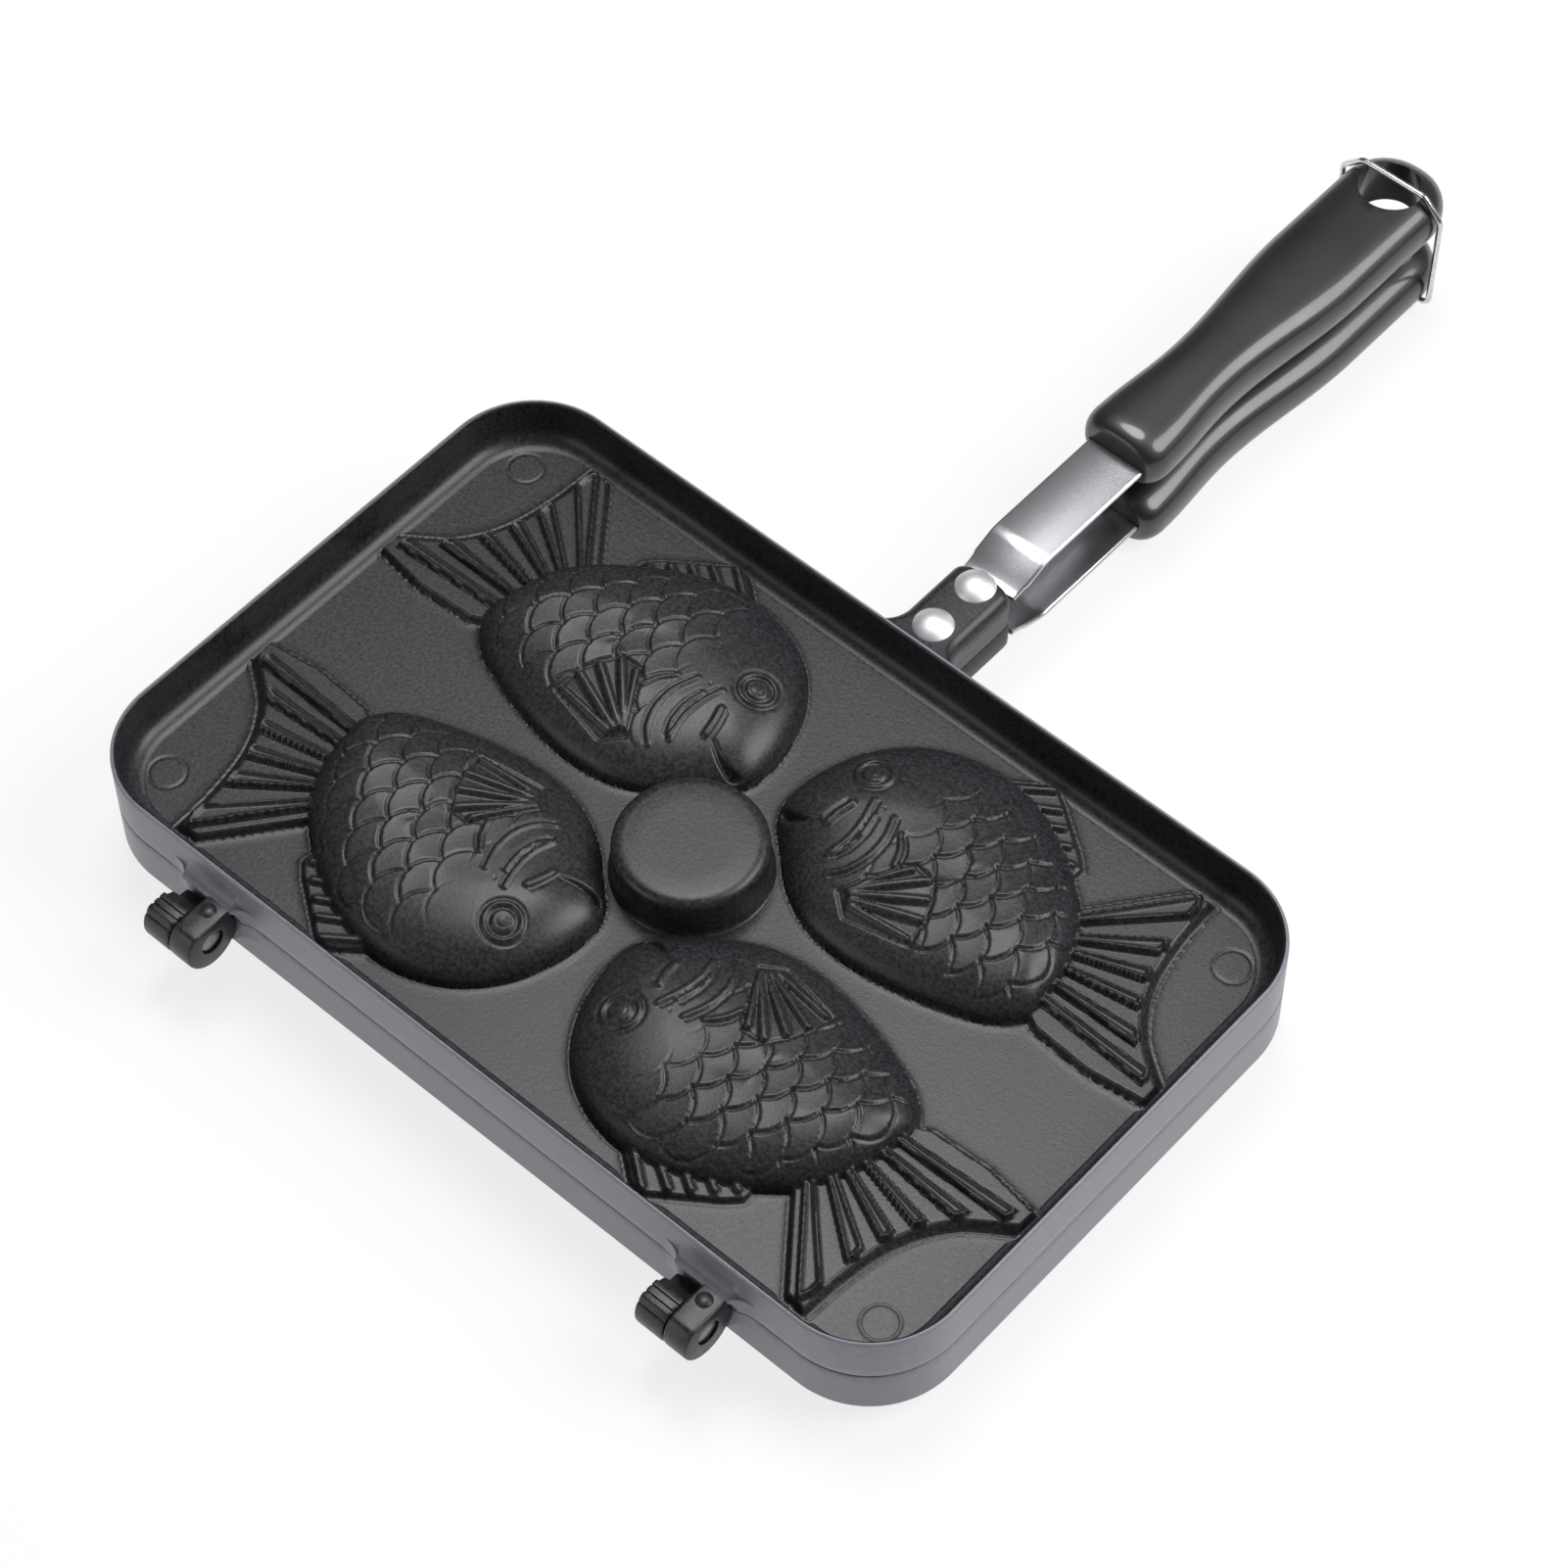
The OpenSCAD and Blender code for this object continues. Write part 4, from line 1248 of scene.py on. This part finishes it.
def makeSlotCutter(s):
    slot = s["slot"]
    middle = s["start"] + (slot["deep"] - slot["past"]) / 2
    deselectAll()
    bpy.ops.mesh.primitive_cube_add(size=1, location=(0, middle * mm, slot["height"] * mm))
    cutter = bpy.context.object
    cutter.scale = (2 * slot["halfWide"] * mm, (slot["deep"] + slot["past"]) * mm, slot["thick"] * mm)
    return cutter


def makeGrip(s):
    capStart = s["length"] - s["end"]
    along = [s["frontRound"] * (1 - cos(radians(a))) for a in range(0, 90, 10)]
    along += list(np.linspace(s["frontRound"], capStart, 48))
    along += [capStart + s["end"] * sin(radians(a)) for a in s["capDegrees"]]
    turns = [2 * pi * i / s["sides"] for i in range(s["sides"] + 1)]
    net = []
    for step in along:
        wide, thick = gripSection(step, s)
        loop = []
        for a in turns:
            c, d = (copysign(abs(v) ** s["squareness"], v) for v in (cos(a), sin(a)))
            loop.append((wide * c, s["start"] + step, s["height"] + thick * d))
        net.append(loop)
    grip = rolledSheet("grip", net, capEnds=True)
    cutAway(grip, makeHoleCutter(s))
    cutAway(grip, makeSlotCutter(s))
    smoothBelow(grip, 40)
    return grip


def makeNub(s):
    # Low round stop between the two grips
    spec, top = s["nub"], s["height"]
    place = (0, spec["place"], (top + spec["inset"]) / 2)
    nub = makeCylinder("nub", spec["radius"], top - spec["inset"], 40, place)
    smoothBelow(nub, 40)
    return nub


placeBoth({"black_grip": makeGrip(gripShape), "grip_nub": makeNub(gripShape)}, gripBlack, "grip", "grip")
print("grips made")


# Floor, room and light; sizes here are in metres
stageSettings = {"floor": "#f6f6f7", "size": 6, "gap": 0.0002, "seenWhite": 0.8, "roomLight": 0.14}
lampSettings = {
    "ceiling": {"place": (-0.34, 0.4, 1.5), "watts": 13.5, "size": 0.68},
    "key": {"place": (0.85, 0.72, 1.1), "watts": 19, "size": 1.0},
    "front": {"place": (-0.5, -1.2, 0.45), "watts": 3.5, "size": 1.0},
}
lampAim = (0, 0.05, 0.02)


def makeFloor(s):
    # Looks nearly white to the camera and in reflections, and takes soft shadows
    deselectAll()
    bpy.ops.mesh.primitive_plane_add(size=s["size"], location=(0, 0, cadBox[0].z - s["gap"]))
    floor = bpy.context.object
    floor.name = "floor"
    material, tree, coords = startMaterial("paleFloor")
    path = addNode(tree, "LightPath").outputs
    rays = {0: path["Is Camera Ray"], 1: path["Is Glossy Ray"]}
    seen = addNode(tree, "Math", {"operation": "MAXIMUM"}, rays)
    toShare = {"operation": "MULTIPLY", 1: s["seenWhite"]}
    share = addNode(tree, "Math", toShare, {0: seen.outputs[0]})
    paper = addNode(tree, "BsdfDiffuse", {"Color": linearColour(s["floor"])})
    glow = addNode(tree, "Emission", {"Color": linearColour("#ffffff")})
    parts = {0: share.outputs[0], 1: paper.outputs[0], 2: glow.outputs[0]}
    both = addNode(tree, "MixShader", None, parts)
    addNode(tree, "OutputMaterial", links={"Surface": both.outputs[0]})
    floor.data.materials.append(material)


def makeRoom(s):
    # White where the camera sees it, and a dim even light on everything else
    world = bpy.data.worlds.new("studio")
    bpy.context.scene.world = world
    world.use_nodes = True
    world.node_tree.nodes.clear()
    tree = world.node_tree
    path = addNode(tree, "LightPath").outputs
    strength = rampShare(tree, path["Is Camera Ray"], (0, 1), (s["roomLight"], 1.0))
    sky = addNode(tree, "Background", {"Color": linearColour("#ffffff")}, {"Strength": strength})
    addNode(tree, "OutputWorld", links={"Surface": sky.outputs["Background"]})


def makeLamps(settings, aim):
    for name, s in settings.items():
        place = Vector(s["place"])
        turn = (place - Vector(aim)).to_track_quat("Z", "Y").to_euler()
        bpy.ops.object.light_add(type="AREA", location=place, rotation=turn)
        lamp = bpy.context.object
        lamp.name = name
        lamp.data.energy = s["watts"]
        lamp.data.shape = "DISK"
        lamp.data.size = s["size"]


makeFloor(stageSettings)
makeRoom(stageSettings)
makeLamps(lampSettings, lampAim)
print("stage and light made")
